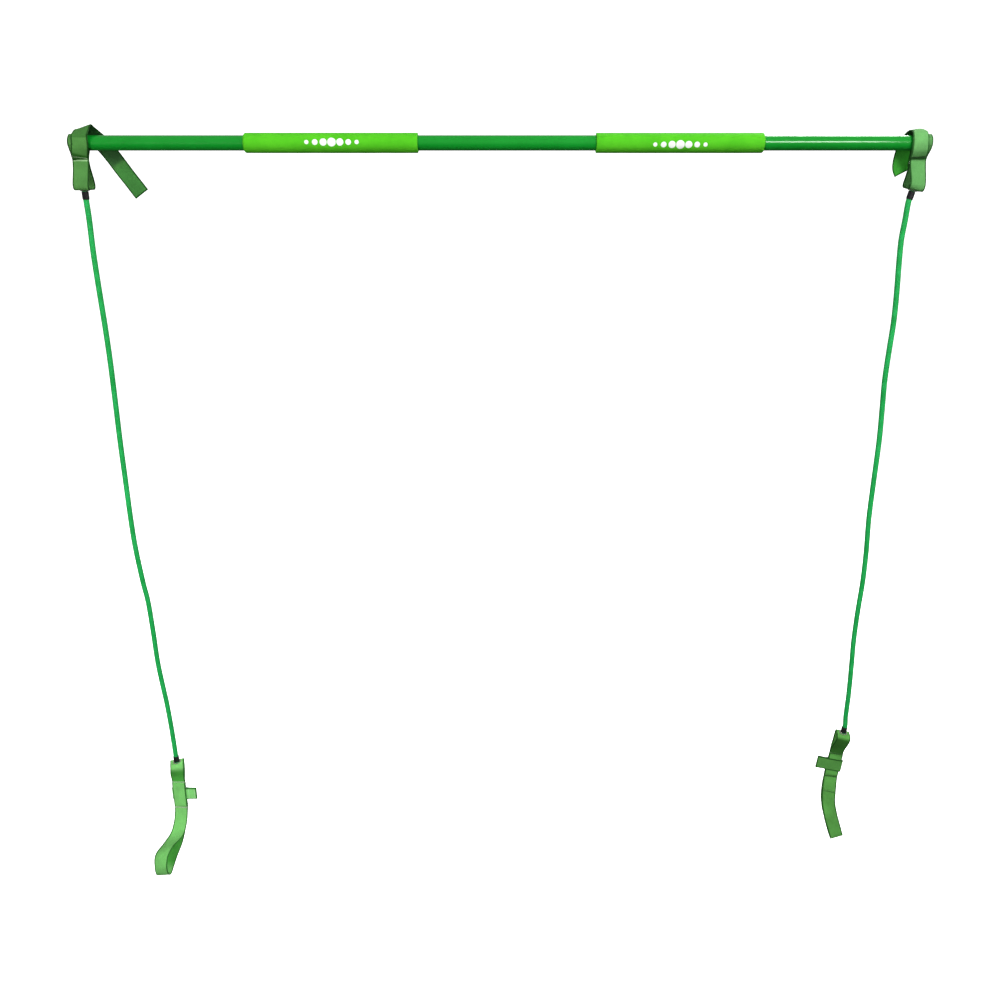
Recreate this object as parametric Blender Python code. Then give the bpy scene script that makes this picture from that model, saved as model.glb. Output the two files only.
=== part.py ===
"""Exercise stick: a metal bar with foam grips, and a resistance tube with a webbing foot loop hung from each end.

Metres, +Z up. The origin is the centre of the bar, which lies along X. The front of the bar faces -Y, and the
tubes hang down from it. The left side is -X.
"""

from math import cos, pi, radians, sin, tan

import bmesh
import bpy
from mathutils import Matrix, Vector

# Bar and grips
BAR_LENGTH = 1.292
BAR_RADIUS = 0.0110
BAR_WALL = 0.0012
CAP_RADIUS = 0.0110
CAP_THICKNESS = 0.0022
CAP_SPIGOT_LENGTH = 0.018
GRIP_RADIUS = 0.0145
GRIP_ENDS = {"left": (-0.3850, -0.1234), "right": (0.1445, 0.3970)}
GRIP_ROUNDING = 0.0030

# Webbing
WEBBING_WIDTH = 0.025
WEBBING_THICKNESS = 0.0015
LAYER_OFFSET = 0.00095  # from the middle of two sewn layers to the middle of one
TUNNEL_OFFSET = 0.0020  # the same where the two layers part to let the keeper through
TUNNEL_RAMP = 0.0045
RING_RADIUS = 0.0121  # middle of the layer that lies on the bar
GAP = 0.0003  # between pieces that touch

# Tube, its sleeves, and the fittings in each bight
TUBE_RADIUS = 0.0044
TUBE_END_ABOVE_FLAT = 0.009
SLEEVE_BORE_RADIUS = 0.0047
SLEEVE_RADIUS = 0.0053
SLEEVE_START = 0.0027
SLEEVE_LENGTH = 0.0120
EYELET_BORE_RADIUS = 0.0051
EYELET_BARREL_RADIUS = 0.0058
EYELET_FLANGE_RADIUS = 0.0071
EYELET_FLANGE_THICKNESS = 0.0010
WASHER_BORE_RADIUS = 0.0061
WASHER_RADIUS = 0.0070
WASHER_THICKNESS = 0.0009
STOPPER_RADIUS = 0.0068
STOPPER_BORE_RADIUS = 0.0048
STOPPER_BORE_DEPTH = 0.0072
STOPPER_HEIGHT = 0.0098

# Half outline of a bight, from the middle of its flat end to its seam: distance from the centre plane of the
# two layers, and distance from the flat end.
BIGHT = (
    (0.0045, 0.0),
    (0.0082, 0.0001),
    (0.0110, 0.0022),
    (0.0120, 0.0065),
    (0.0106, 0.0125),
    (0.0072, 0.0215),
    (0.0036, 0.0305),
    (0.0014, 0.0385),
    (LAYER_OFFSET, 0.0440),
)
BIGHT_LENGTH = BIGHT[-1][1]

# Hanging part of each bar strap: the height of its flat end, where it lies along X at the bar, at the seam and
# at the flat end, how far the flat end is turned about Z, and how far its lower side leans towards -X.
BAR_STRAP_FLAT_Z = -0.0672
BAR_STRAPS = {
    "left": {"bar_x": -0.6345, "seam_x": -0.6349, "flat_x": -0.6353, "turn": radians(2), "lean": 0.0},
    "right": {"bar_x": 0.6350, "seam_x": 0.6330, "flat_x": 0.6313, "turn": radians(-5), "lean": radians(13)},
}

# Cinch straps: points along the middle of the webbing, each with the direction of its width. The strip starts at
# the seam under the bar, goes up the front, folds over the top and comes down behind.
CINCH_ROUTES = {
    "left": (
        ((-0.6340, -0.0030, -0.0232), (1, 0, 0)),
        ((-0.6340, -0.0048, -0.0203), (1, 0, 0)),
        ((-0.6318, -0.0096, -0.0148), (1, 0, 0)),
        ((-0.6290, -0.0137, -0.0080), (1, 0, 0)),
        ((-0.6272, -0.0155, 0.0), (1, 0, 0)),
        ((-0.6270, -0.0146, 0.0070), (1, 0, 0.03)),
        ((-0.6264, -0.0112, 0.0138), (1, 0, 0.08)),
        ((-0.6258, -0.0045, 0.0192), (0.98, 0, 0.20)),
        ((-0.6252, 0.0015, 0.0222), (0.95, -0.05, 0.30)),
        ((-0.6249, 0.0062, 0.0217), (0.93, -0.12, 0.36)),
        ((-0.6232, 0.0112, 0.0175), (0.80, -0.22, 0.55)),
        ((-0.6160, 0.0147, 0.0090), (0.74, -0.10, 0.66)),
        ((-0.6040, 0.0156, -0.0030), (0.78, 0, 0.62)),
        ((-0.5920, 0.0156, -0.0185), (0.82, 0, 0.57)),
        ((-0.5774, 0.0150, -0.0400), (0.83, 0, 0.56)),
        ((-0.5532, 0.0140, -0.0748), (0.83, 0, 0.56)),
    ),
    "right": (
        ((0.6310, -0.0031, -0.0224), (1, 0, 0)),
        ((0.6310, -0.0052, -0.0198), (1, 0, 0)),
        ((0.6302, -0.0102, -0.0154), (1, 0, 0)),
        ((0.6290, -0.0150, -0.0090), (1, 0, 0)),
        ((0.6282, -0.0172, 0.0), (1, 0, 0)),
        ((0.6279, -0.0160, 0.0085), (1, 0, 0.02)),
        ((0.6285, -0.0115, 0.0152), (1, 0, 0)),
        ((0.6295, -0.0050, 0.0190), (1, 0, -0.02)),
        ((0.6302, 0.0020, 0.0194), (0.99, 0, -0.08)),
        ((0.6288, 0.0092, 0.0160), (0.97, 0, -0.22)),
        ((0.6240, 0.0146, 0.0070), (0.92, 0, -0.36)),
        ((0.6180, 0.0158, -0.0040), (0.95, 0, -0.25)),
        ((0.6145, 0.0156, -0.0165), (1, 0, -0.02)),
        ((0.6130, 0.0152, -0.0290), (0.96, 0, 0.26)),
        ((0.6137, 0.0148, -0.0368), (0.88, 0, 0.45)),
        ((0.6173, 0.0145, -0.0440), (0.83, 0, 0.56)),
    ),
}

# Foot straps: the flat end of the bight, the sewn flat part below it, the keeper's middle, and points down the
# front of the foot loop, round its end and up its back.
FOOT_STRAPS = {
    "left": {
        "flat": (-0.6136, 0.0, -1.1080),
        "flat_width": (0.961, 0.276, 0.03),
        "seam_x": -0.6155,
        "width": (1, 0, 0),
        "sewn_end": (-0.6167, 0.0, -1.2105),
        "keeper_z": -1.1800,
        "tab_side": 1,
        "held_layer": -1,
        "loop": (
            ((-0.6186, -0.0065, -1.2350), (1, 0, -0.02)),
            ((-0.6264, -0.0135, -1.2622), (0.86, 0.25, -0.42)),
            ((-0.6438, -0.0210, -1.2830), (0.50, 0.50, -0.70)),
            ((-0.6574, -0.0260, -1.3040), (0.88, 0.30, -0.35)),
            ((-0.6630, -0.0255, -1.3300), (1, 0, -0.05)),
            ((-0.6650, -0.0195, -1.3535), (1, 0.05, 0)),
            ((-0.6652, -0.0090, -1.3660), (1, 0.08, 0)),
            ((-0.6635, 0.0010, -1.3610), (1, 0.05, -0.08)),
            ((-0.6535, 0.0080, -1.3330), (0.95, 0, -0.30)),
            ((-0.6385, 0.0092, -1.2970), (0.96, 0, -0.20)),
            ((-0.6248, 0.0062, -1.2500), (1, 0, -0.04)),
        ),
    },
    "right": {
        "flat": (0.6438, 0.0, -1.0435),
        "flat_width": (0.979, -0.176, -0.10),
        "seam_x": 0.6362,
        "width": (0.974, -0.173, -0.13),
        "sewn_end": (0.6312, 0.0, -1.1380),
        "keeper_z": -1.1115,
        "tab_side": -1,
        "held_layer": 1,
        "loop": (
            ((0.6308, -0.0042, -1.1680), (0.91, -0.40, -0.03)),
            ((0.6326, -0.0062, -1.1960), (0.89, -0.44, 0.05)),
            ((0.6402, -0.0085, -1.2270), (0.97, -0.18, 0.17)),
            ((0.6496, -0.0090, -1.2545), (0.95, -0.05, 0.28)),
            ((0.6566, -0.0074, -1.2744), (0.94, 0, 0.33)),
            ((0.6576, -0.0020, -1.2772), (0.94, 0, 0.33)),
            ((0.6534, 0.0032, -1.2655), (0.95, -0.02, 0.30)),
            ((0.6424, 0.0042, -1.2315), (0.97, -0.16, 0.18)),
            ((0.6338, 0.0038, -1.1990), (0.90, -0.42, 0.05)),
            ((0.6313, 0.0032, -1.1680), (0.92, -0.38, -0.03)),
        ),
    },
}
KEEPER_CLEARANCE = 0.0004
KEEPER_SIDE_CLEARANCE = 0.0009
KEEPER_TAB_LENGTH = 0.019

# The tubes' routes between their two sleeves, which are straight: x and z of each point, all at y = 0.
TUBE_ROUTES = {
    "left": (
        (-0.6349, -0.113),
        (-0.6357, -0.160),
        (-0.6350, -0.215),
        (-0.6336, -0.280),
        (-0.6333, -0.335),
        (-0.6342, -0.400),
        (-0.6355, -0.470),
        (-0.6358, -0.540),
        (-0.6361, -0.610),
        (-0.6349, -0.665),
        (-0.6304, -0.728),
        (-0.6260, -0.770),
        (-0.6244, -0.830),
        (-0.6238, -0.888),
        (-0.6212, -0.931),
        (-0.6177, -0.975),
        (-0.6156, -1.020),
        (-0.6145, -1.062),
    ),
    "right": (
        (0.6262, -0.113),
        (0.6246, -0.143),
        (0.6262, -0.180),
        (0.6290, -0.225),
        (0.6306, -0.270),
        (0.6297, -0.320),
        (0.6294, -0.366),
        (0.6318, -0.415),
        (0.6342, -0.470),
        (0.6346, -0.540),
        (0.6354, -0.610),
        (0.6388, -0.670),
        (0.6402, -0.727),
        (0.6389, -0.786),
        (0.6390, -0.845),
        (0.6415, -0.900),
        (0.6438, -0.960),
        (0.6442, -1.005),
    ),
}
TUBE_POINT_SPACING = 0.025

ROUND_STEPS = 48
SMALL_ROUND_STEPS = 32

MATERIALS = {
    "bar_paint": ((0.012, 0.28, 0.035, 1), 0.22, 0.65),
    "grip_foam": ((0.13, 0.62, 0.045, 1), 0.85, 0.0),
    "strap_webbing": ((0.11, 0.40, 0.085, 1), 0.80, 0.0),
    "tube_rubber": ((0.02, 0.36, 0.10, 1), 0.30, 0.0),
    "black_rubber": ((0.012, 0.010, 0.014, 1), 0.45, 0.0),
    "eyelet_metal": ((0.72, 0.70, 0.62, 1), 0.28, 1.0),
    "black_plastic": ((0.02, 0.02, 0.02, 1), 0.50, 0.0),
}


def clear_scene():
    for obj in list(bpy.data.objects):
        bpy.data.objects.remove(obj, do_unlink=True)


def make_materials():
    made = {}
    for name, (colour, roughness, metallic) in MATERIALS.items():
        material = bpy.data.materials.new(name)
        material.use_nodes = True
        shader = material.node_tree.nodes["Principled BSDF"]
        shader.inputs["Base Color"].default_value = colour
        shader.inputs["Roughness"].default_value = roughness
        shader.inputs["Metallic"].default_value = metallic
        made[name] = material
    return made


def empty_on_axis(name, at, parent=None):
    """An empty at a place in the world, for what turns or slides there."""
    empty = bpy.data.objects.new(name, None)
    bpy.context.collection.objects.link(empty)
    empty.empty_display_size = 0.02
    empty["world"] = at
    if parent:
        empty.parent = parent
        empty.location = Vector(at) - Vector(parent["world"])
    else:
        empty.location = at
    return empty


def add_object(name, data, material, parent=None):
    """Links an object whose data holds world coordinates, and hangs it under the empty on its joint's axis."""
    obj = bpy.data.objects.new(name, data)
    bpy.context.collection.objects.link(obj)
    obj.data.materials.append(material)
    if parent:
        obj.parent = parent
        obj.location = -Vector(parent["world"])
    return obj


def turned(name, profile, centre, axis, material, parent=None, steps=SMALL_ROUND_STEPS):
    """A turned ring or plug. The profile is a closed outline of (radius, distance along the axis) points, and a
    radius of 0 lies on the axis."""
    bm = bmesh.new()
    corners = [bm.verts.new((r, 0, d)) for r, d in profile]
    loop = corners + corners[:1]
    edges = [bm.edges.new(pair) for pair in zip(loop, loop[1:]) if max(v.co.x for v in pair) > 0]
    bmesh.ops.spin(
        bm,
        geom=corners + edges,
        cent=(0, 0, 0),
        axis=(0, 0, 1),
        angle=2 * pi,
        steps=steps,
        use_merge=True,
    )
    bmesh.ops.remove_doubles(bm, verts=bm.verts, dist=1e-6)
    bmesh.ops.dissolve_degenerate(bm, dist=1e-7, edges=bm.edges)
    bmesh.ops.recalc_face_normals(bm, faces=bm.faces)
    placed = Matrix.Translation(centre) @ Vector((0, 0, 1)).rotation_difference(Vector(axis)).to_matrix().to_4x4()
    bm.transform(placed)
    mesh = bpy.data.meshes.new(name)
    bm.to_mesh(mesh)
    bm.free()
    mesh.shade_smooth()
    mesh.set_sharp_from_angle(angle=radians(35))
    return add_object(name, mesh, material, parent)


def smooth_route(stations, steps, closed):
    """Points on a Catmull-Rom curve through the stations, each a list of numbers of any length."""
    count = len(stations)
    route = []
    for i in range(count if closed else count - 1):
        b = stations[i]
        c = stations[(i + 1) % count]
        a = stations[i - 1] if closed or i > 0 else [2 * p - q for p, q in zip(b, c)]
        d = stations[(i + 2) % count] if closed or i + 2 < count else [2 * p - q for p, q in zip(c, b)]
        for k in range(steps):
            t = k / steps
            weights = (
                -0.5 * t + t * t - 0.5 * t**3,
                1 - 2.5 * t * t + 1.5 * t**3,
                0.5 * t + 2 * t * t - 1.5 * t**3,
                -0.5 * t * t + 0.5 * t**3,
            )
            route.append([sum(w * p for w, p in zip(weights, four)) for four in zip(a, b, c, d)])
    if not closed:
        route.append(list(stations[-1]))
    return route


def webbing(name, stations, closed, material, parent=None, width=WEBBING_WIDTH, steps=2):
    """A flat strap along the stations, each a place and the direction of the strap's width there."""
    route = smooth_route([tuple(place) + tuple(across) for place, across in stations], steps, closed)
    count = len(route)
    places = [Vector(point[:3]) for point in route]
    bm = bmesh.new()
    rings = []
    for i, point in enumerate(route):
        before = places[i - 1] if closed or i else places[i]
        after = places[(i + 1) % count] if closed or i + 1 < count else places[i]
        tangent = (after - before).normalized()
        across = Vector(point[3:])
        across = (across - tangent * across.dot(tangent)).normalized() * (width / 2)
        through = tangent.cross(across).normalized() * (WEBBING_THICKNESS / 2)
        corners = (-across - through, across - through, across + through, -across + through)
        rings.append([bm.verts.new(places[i] + corner) for corner in corners])
    pairs = list(zip(rings, rings[1:] + rings[:1] if closed else rings[1:]))
    for ring, following in pairs:
        for k in range(4):
            bm.faces.new((ring[k], ring[(k + 1) % 4], following[(k + 1) % 4], following[k]))
    if not closed:
        bm.faces.new(rings[0])
        bm.faces.new(rings[-1])
    bmesh.ops.recalc_face_normals(bm, faces=bm.faces)
    mesh = bpy.data.meshes.new(name)
    bm.to_mesh(mesh)
    bm.free()
    return add_object(name, mesh, material, parent)


def punch(strap, centre, axis):
    """Cuts the eyelet's hole through a strap's flat end."""
    outline = [
        (0, -0.004),
        (EYELET_BARREL_RADIUS + GAP, -0.004),
        (EYELET_BARREL_RADIUS + GAP, 0.004),
        (0, 0.004),
    ]
    cutter = turned(strap.name + "_punch", outline, centre, axis, strap.data.materials[0])
    cutter.hide_render = True
    cutter.display_type = "WIRE"
    hole = strap.modifiers.new("eyelet_hole", "BOOLEAN")
    hole.operation = "DIFFERENCE"
    hole.object = cutter


def eyelet_set(prefix, centre, axis, materials, strap_parent, tube_parent):
    """The eyelet, its washer, the stopper and the sleeve at one end of a tube. The axis points out of the bight,
    the way the tube leaves it."""
    face = WEBBING_THICKNESS / 2
    flange = face + GAP
    washer = -(face + GAP) - WASHER_THICKNESS
    metal = materials["eyelet_metal"]
    turned(
        prefix + "_eyelet",
        [
            (EYELET_BORE_RADIUS, washer),
            (EYELET_BARREL_RADIUS, washer),
            (EYELET_BARREL_RADIUS, flange),
            (EYELET_FLANGE_RADIUS, flange),
            (EYELET_FLANGE_RADIUS - 0.0003, flange + EYELET_FLANGE_THICKNESS * 0.7),
            (EYELET_BARREL_RADIUS, flange + EYELET_FLANGE_THICKNESS),
            (EYELET_BORE_RADIUS, flange + EYELET_FLANGE_THICKNESS * 0.6),
        ],
        centre,
        axis,
        metal,
        strap_parent,
    )
    turned(
        prefix + "_washer",
        [
            (WASHER_BORE_RADIUS, washer),
            (WASHER_RADIUS, washer),
            (WASHER_RADIUS, washer + WASHER_THICKNESS),
            (WASHER_BORE_RADIUS, washer + WASHER_THICKNESS),
        ],
        centre,
        axis,
        metal,
        strap_parent,
    )
    seat = washer - GAP
    turned(
        prefix + "_stopper",
        [
            (0, seat - STOPPER_BORE_DEPTH),
            (STOPPER_BORE_RADIUS, seat - STOPPER_BORE_DEPTH),
            (STOPPER_BORE_RADIUS, seat),
            (STOPPER_RADIUS - 0.0008, seat),
            (STOPPER_RADIUS, seat - 0.0010),
            (STOPPER_RADIUS, seat - 0.0055),
            (STOPPER_RADIUS - 0.0010, seat - 0.0082),
            (STOPPER_RADIUS - 0.0030, seat - STOPPER_HEIGHT + 0.0003),
            (0, seat - STOPPER_HEIGHT),
        ],
        centre,
        axis,
        materials["black_plastic"],
        tube_parent,
    )
    turned(
        prefix + "_sleeve",
        [
            (SLEEVE_BORE_RADIUS, SLEEVE_START),
            (SLEEVE_RADIUS - 0.0003, SLEEVE_START),
            (SLEEVE_RADIUS, SLEEVE_START + 0.0004),
            (SLEEVE_RADIUS, SLEEVE_START + SLEEVE_LENGTH - 0.0004),
            (SLEEVE_RADIUS - 0.0003, SLEEVE_START + SLEEVE_LENGTH),
            (SLEEVE_BORE_RADIUS, SLEEVE_START + SLEEVE_LENGTH),
        ],
        centre,
        axis,
        materials["black_rubber"],
        tube_parent,
    )


def make_bar(materials):
    half = BAR_LENGTH / 2
    turned(
        "bar_tube",
        [
            (BAR_RADIUS - BAR_WALL, -half),
            (BAR_RADIUS, -half),
            (BAR_RADIUS, half),
            (BAR_RADIUS - BAR_WALL, half),
        ],
        (0, 0, 0),
        (1, 0, 0),
        materials["bar_paint"],
        steps=ROUND_STEPS,
    )
    spigot = BAR_RADIUS - BAR_WALL - GAP
    for side, outward in (("left", -1), ("right", 1)):
        turned(
            side + "_end_cap",
            [
                (0, -CAP_SPIGOT_LENGTH),
                (spigot - 0.0010, -CAP_SPIGOT_LENGTH),
                (spigot, -CAP_SPIGOT_LENGTH + 0.0020),
                (spigot, GAP),
                (CAP_RADIUS, GAP),
                (CAP_RADIUS, CAP_THICKNESS - 0.0008),
                (CAP_RADIUS - 0.0008, CAP_THICKNESS),
                (0, CAP_THICKNESS),
            ],
            (outward * half, 0, 0),
            (outward, 0, 0),
            materials["black_plastic"],
            steps=ROUND_STEPS,
        )
        make_grip(side, outward, materials["grip_foam"])


def make_grip(side, outward, material):
    """A foam sleeve whose outer end is rounded and whose inner end is cut square."""
    low, high = GRIP_ENDS[side]
    length = high - low
    bore = BAR_RADIUS + GAP
    rounding = [
        (
            GRIP_RADIUS - GRIP_ROUNDING + GRIP_ROUNDING * sin(angle),
            length - GRIP_ROUNDING + GRIP_ROUNDING * cos(angle),
        )
        for angle in (radians(a) for a in (90, 60, 30, 0))
    ]
    outline = [(bore, 0), (GRIP_RADIUS - 0.0006, 0), (GRIP_RADIUS, 0.0006)] + rounding + [(bore, length)]
    start = low if outward > 0 else high
    turned(side + "_foam_grip", outline, (start, 0, 0), (outward, 0, 0), material, steps=ROUND_STEPS)


def blend(a, b, share):
    """From a to b, easing in and out."""
    share = max(0.0, min(1.0, share))
    share = share * share * (3 - 2 * share)
    return a + (b - a) * share


def bar_strap_frame(spec, z):
    """At a height on the hanging part: where its middle lies along X, its width and the way its front faces."""
    up = max(0.0, min(1.0, (z - BAR_STRAP_FLAT_Z) / BIGHT_LENGTH))
    turn = blend(spec["turn"], 0, up)
    lean = blend(spec["lean"], 0, up)
    x = blend(spec["flat_x"], spec["seam_x"], up) + BIGHT_LENGTH * tan(spec["lean"]) * up * (1 - up) ** 2
    width = Vector((cos(turn) * cos(lean), -sin(turn) * cos(lean), -sin(lean)))
    return x, width, Vector((-sin(turn), -cos(turn), 0))


def bar_strap_axis(spec):
    """Straight out of the flat end of a bar strap's bight, downward."""
    _, width, front = bar_strap_frame(spec, BAR_STRAP_FLAT_Z)
    return width.cross(front).normalized()


def bar_strap_stations(spec):
    """The closed route of a bar strap: down the front of its bight, and round the bar at the top."""
    seam_z = BAR_STRAP_FLAT_Z + BIGHT_LENGTH
    rise = 0.020

    def station(out, z):
        x, width, front = bar_strap_frame(spec, z)
        if z > seam_z:
            x = blend(spec["seam_x"], spec["bar_x"], (z - seam_z) / rise)
        return Vector((x, 0, z)) + front * out, width

    shoulder = ((0.0039, -0.0165), (0.0088, -0.0094))
    front = [station(out, BAR_STRAP_FLAT_Z + up) for out, up in BIGHT]
    front += [station(out, z) for out, z in shoulder]
    angles = [radians(a) for a in range(-15, 196, 15)]
    ring = [station(RING_RADIUS * cos(a), RING_RADIUS * sin(a)) for a in angles]
    back = [station(-out, z) for out, z in reversed(shoulder)]
    back += [station(-out, BAR_STRAP_FLAT_Z + up) for out, up in reversed(BIGHT)]
    return [station(0, BAR_STRAP_FLAT_Z)] + front + ring + back


def foot_strap_stations(spec):
    """The closed route of a foot strap: down its front, round the foot loop and up its back."""
    flat = Vector(spec["flat"])
    seam = Vector((spec["seam_x"], 0, flat.z - BIGHT_LENGTH))
    end = Vector(spec["sewn_end"])
    flat_width = Vector(spec["flat_width"]).normalized()
    width = Vector(spec["width"]).normalized()

    def bight_station(out, down, sign):
        share = down / BIGHT_LENGTH
        across = Vector([blend(p, q, share) for p, q in zip(flat_width, width)]).normalized()
        front = Vector((across.y, -across.x, 0)).normalized()
        x = blend(flat.x, seam.x, share)
        return (Vector((x, 0, flat.z - down)) + front * out * sign, across)

    def tunnel_station(down, sign):
        front = Vector((width.y, -width.x, 0)).normalized()
        offset = LAYER_OFFSET if down == tunnel else TUNNEL_OFFSET
        return (seam.lerp(end, down / tunnel) + front * offset * sign, width)

    tunnel = (end - seam).length
    downs = (TUNNEL_RAMP, tunnel * 0.4, tunnel * 0.6, tunnel - TUNNEL_RAMP, tunnel)
    front = [bight_station(out, down, 1) for out, down in BIGHT]
    front += [tunnel_station(down, 1) for down in downs]
    back = [tunnel_station(down, -1) for down in reversed(downs)]
    back += [bight_station(out, down, -1) for out, down in reversed(BIGHT)]
    return [bight_station(0, 0, 1)] + front + list(spec["loop"]) + back


def keeper_frame(spec):
    """The middle of the layer inside the keeper, and the directions across, through and along it."""
    seam = Vector((spec["seam_x"], 0, spec["flat"][2] - BIGHT_LENGTH))
    end = Vector(spec["sewn_end"])
    along = (end - seam).normalized()
    across = Vector(spec["width"])
    front = Vector((across.y, -across.x, 0)).normalized()
    across = (across - along * across.dot(along)).normalized()
    through = along.cross(across).normalized()
    middle = seam + along * ((spec["keeper_z"] - seam.z) / along.z)
    return middle + front * TUNNEL_OFFSET * spec["held_layer"], across, through, along


def make_keeper(side, spec, material, parent):
    """A band folded round one layer of the foot strap, whose two ends are sewn together as a tab at one side."""
    middle, across, through, along = keeper_frame(spec)
    across = across * spec["tab_side"]
    half = WEBBING_THICKNESS / 2
    depth = half + KEEPER_CLEARANCE + half
    far = -(WEBBING_WIDTH / 2 + KEEPER_SIDE_CLEARANCE + half)
    near = WEBBING_WIDTH / 2 + 0.0015
    tip = WEBBING_WIDTH / 2 + KEEPER_TAB_LENGTH
    outline = [
        (tip, LAYER_OFFSET),
        (near + 0.0040, LAYER_OFFSET),
        (near, depth * 0.92),
        (0.0090, depth),
        (-0.0090, depth),
        (far + 0.0010, depth),
        (far, depth - 0.0010),
        (far, 0),
    ]
    outline += [(a, -t) for a, t in reversed(outline[:-1])]
    stations = [(middle + across * a + through * t, along) for a, t in outline]
    webbing(side + "_keeper", stations, False, material, parent)


def flat_axis(spec):
    """Straight out of the flat end of a foot strap's bight, upward."""
    across = Vector(spec["flat_width"]).normalized()
    front = Vector((across.y, -across.x, 0)).normalized()
    return front.cross(across).normalized()


def tube_points(side, top, top_axis, bottom, bottom_axis):
    """Points down a tube's centre line: straight through each end's fittings and along its route between."""
    reaches = (-TUBE_END_ABOVE_FLAT, 0.004, SLEEVE_START + SLEEVE_LENGTH + 0.003)
    heads = [tuple(top + top_axis * reach) for reach in reaches]
    feet = [tuple(bottom + bottom_axis * reach) for reach in reversed(reaches)]
    route = heads + [(x, 0, z) for x, z in TUBE_ROUTES[side]] + feet
    fine = smooth_route(route, 24, False)
    spaced = [fine[0]]
    for point in fine[1:]:
        step = Vector(point) - Vector(spaced[-1])
        near_end = min(fine[0][2] - point[2], point[2] - fine[-1][2]) < 0.04
        if step.length >= (TUBE_POINT_SPACING / 3 if near_end else TUBE_POINT_SPACING):
            spaced.append(point)
    spaced[-1] = fine[-1]
    return spaced


def make_tube(side, ends, material, parent):
    points = tube_points(side, *ends)
    curve = bpy.data.curves.new(side + "_resistance_tube", "CURVE")
    curve.dimensions = "3D"
    curve.bevel_depth = TUBE_RADIUS
    curve.bevel_resolution = 2
    curve.use_fill_caps = True
    spline = curve.splines.new("POLY")
    spline.points.add(len(points) - 1)
    for spline_point, place in zip(spline.points, points):
        spline_point.co = (*place, 1)
    add_object(side + "_resistance_tube", curve, material, parent)


def make_side(side, materials):
    strap = BAR_STRAPS[side]
    foot = FOOT_STRAPS[side]
    top = Vector((strap["flat_x"], 0, BAR_STRAP_FLAT_Z))
    top_axis = bar_strap_axis(strap)
    bottom = Vector(foot["flat"])
    bottom_axis = flat_axis(foot)
    mouth = top + top_axis * (SLEEVE_START + SLEEVE_LENGTH)
    cloth = materials["strap_webbing"]

    swing = empty_on_axis(side + "_swing_axis", (strap["bar_x"], 0, 0))
    swivel = empty_on_axis(side + "_upper_swivel_axis", top, swing)
    bend = empty_on_axis(side + "_bend_axis", mouth, swivel)
    stretch = empty_on_axis(side + "_stretch_axis", bottom, bend)
    foot_swivel = empty_on_axis(side + "_foot_swivel_axis", bottom, stretch)
    slide = empty_on_axis(side + "_keeper_axis", tuple(keeper_frame(foot)[0]), foot_swivel)

    bar_strap = webbing(side + "_bar_strap", bar_strap_stations(strap), True, cloth, swing)
    punch(bar_strap, top, top_axis)
    webbing(side + "_cinch_strap", CINCH_ROUTES[side], False, cloth, swing)
    eyelet_set(side + "_upper", top, top_axis, materials, swing, swivel)
    make_tube(side, (top, top_axis, bottom, bottom_axis), materials["tube_rubber"], bend)
    eyelet_set(side + "_lower", bottom, bottom_axis, materials, foot_swivel, stretch)
    foot_strap = webbing(side + "_foot_strap", foot_strap_stations(foot), True, cloth, foot_swivel)
    punch(foot_strap, bottom, bottom_axis)
    make_keeper(side, foot, cloth, slide)


def main():
    clear_scene()
    materials = make_materials()
    make_bar(materials)
    for side in ("left", "right"):
        make_side(side, materials)
    bpy.context.view_layer.update()


main()
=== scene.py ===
"""Looks of the exercise stick: a green bar with foam grips, and at each end a webbing strap, a resistance
tube and a webbing foot loop. Metres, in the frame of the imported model."""

from math import cos, pi, radians, sin, tan

import bmesh
import bpy
from mathutils import Matrix, Vector, noise


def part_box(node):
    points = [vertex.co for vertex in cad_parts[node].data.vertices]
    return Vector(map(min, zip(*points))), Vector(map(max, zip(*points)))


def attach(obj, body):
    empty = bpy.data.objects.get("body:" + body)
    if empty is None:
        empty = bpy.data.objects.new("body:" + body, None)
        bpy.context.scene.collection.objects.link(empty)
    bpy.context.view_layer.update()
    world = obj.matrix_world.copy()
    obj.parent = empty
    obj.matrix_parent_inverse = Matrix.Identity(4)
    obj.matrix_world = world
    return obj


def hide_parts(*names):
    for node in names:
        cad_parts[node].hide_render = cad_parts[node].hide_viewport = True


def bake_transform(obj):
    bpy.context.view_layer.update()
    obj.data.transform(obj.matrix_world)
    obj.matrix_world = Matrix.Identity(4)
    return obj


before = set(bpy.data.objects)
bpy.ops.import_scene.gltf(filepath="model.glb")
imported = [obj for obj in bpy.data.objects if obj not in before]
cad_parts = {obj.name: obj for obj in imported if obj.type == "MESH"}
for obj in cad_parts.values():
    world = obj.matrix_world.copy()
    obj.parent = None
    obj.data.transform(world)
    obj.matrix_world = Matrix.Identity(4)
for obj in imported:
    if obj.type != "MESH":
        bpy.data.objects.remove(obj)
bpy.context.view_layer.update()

# ---------------------------------------------------------------- sizes and routes

BAR_HALF = 0.646
BAR_RADIUS = 0.0110
BAR_WALL = 0.0012
GRIP_RADIUS = 0.0145
WEBBING_WIDTH = 0.025
WEBBING_THICKNESS = 0.0015
LAYER_OFFSET = 0.00095
TUNNEL_OFFSET = 0.0020
TUNNEL_RAMP = 0.0045
RING_RADIUS = 0.0121
GAP = 0.0003
TUBE_RADIUS = 0.0044
TUBE_END_ABOVE_FLAT = 0.009
SLEEVE_START = 0.0027
SLEEVE_LENGTH = 0.0120
SLEEVE_END = SLEEVE_START + SLEEVE_LENGTH
WASHER_THICKNESS = 0.0009
EYELET_HOLE_RADIUS = 0.0067
TUBE_STEP = 0.003
TUBE_SIDES = 40
THREAD_RADIUS = 0.00026
THREAD_SIDES = 6
KEEPER_THREAD_RADIUS = 0.00024
STITCH_LIFT = 0.00090
FOOT_TACK_HEIGHT = 0.0032
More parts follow.
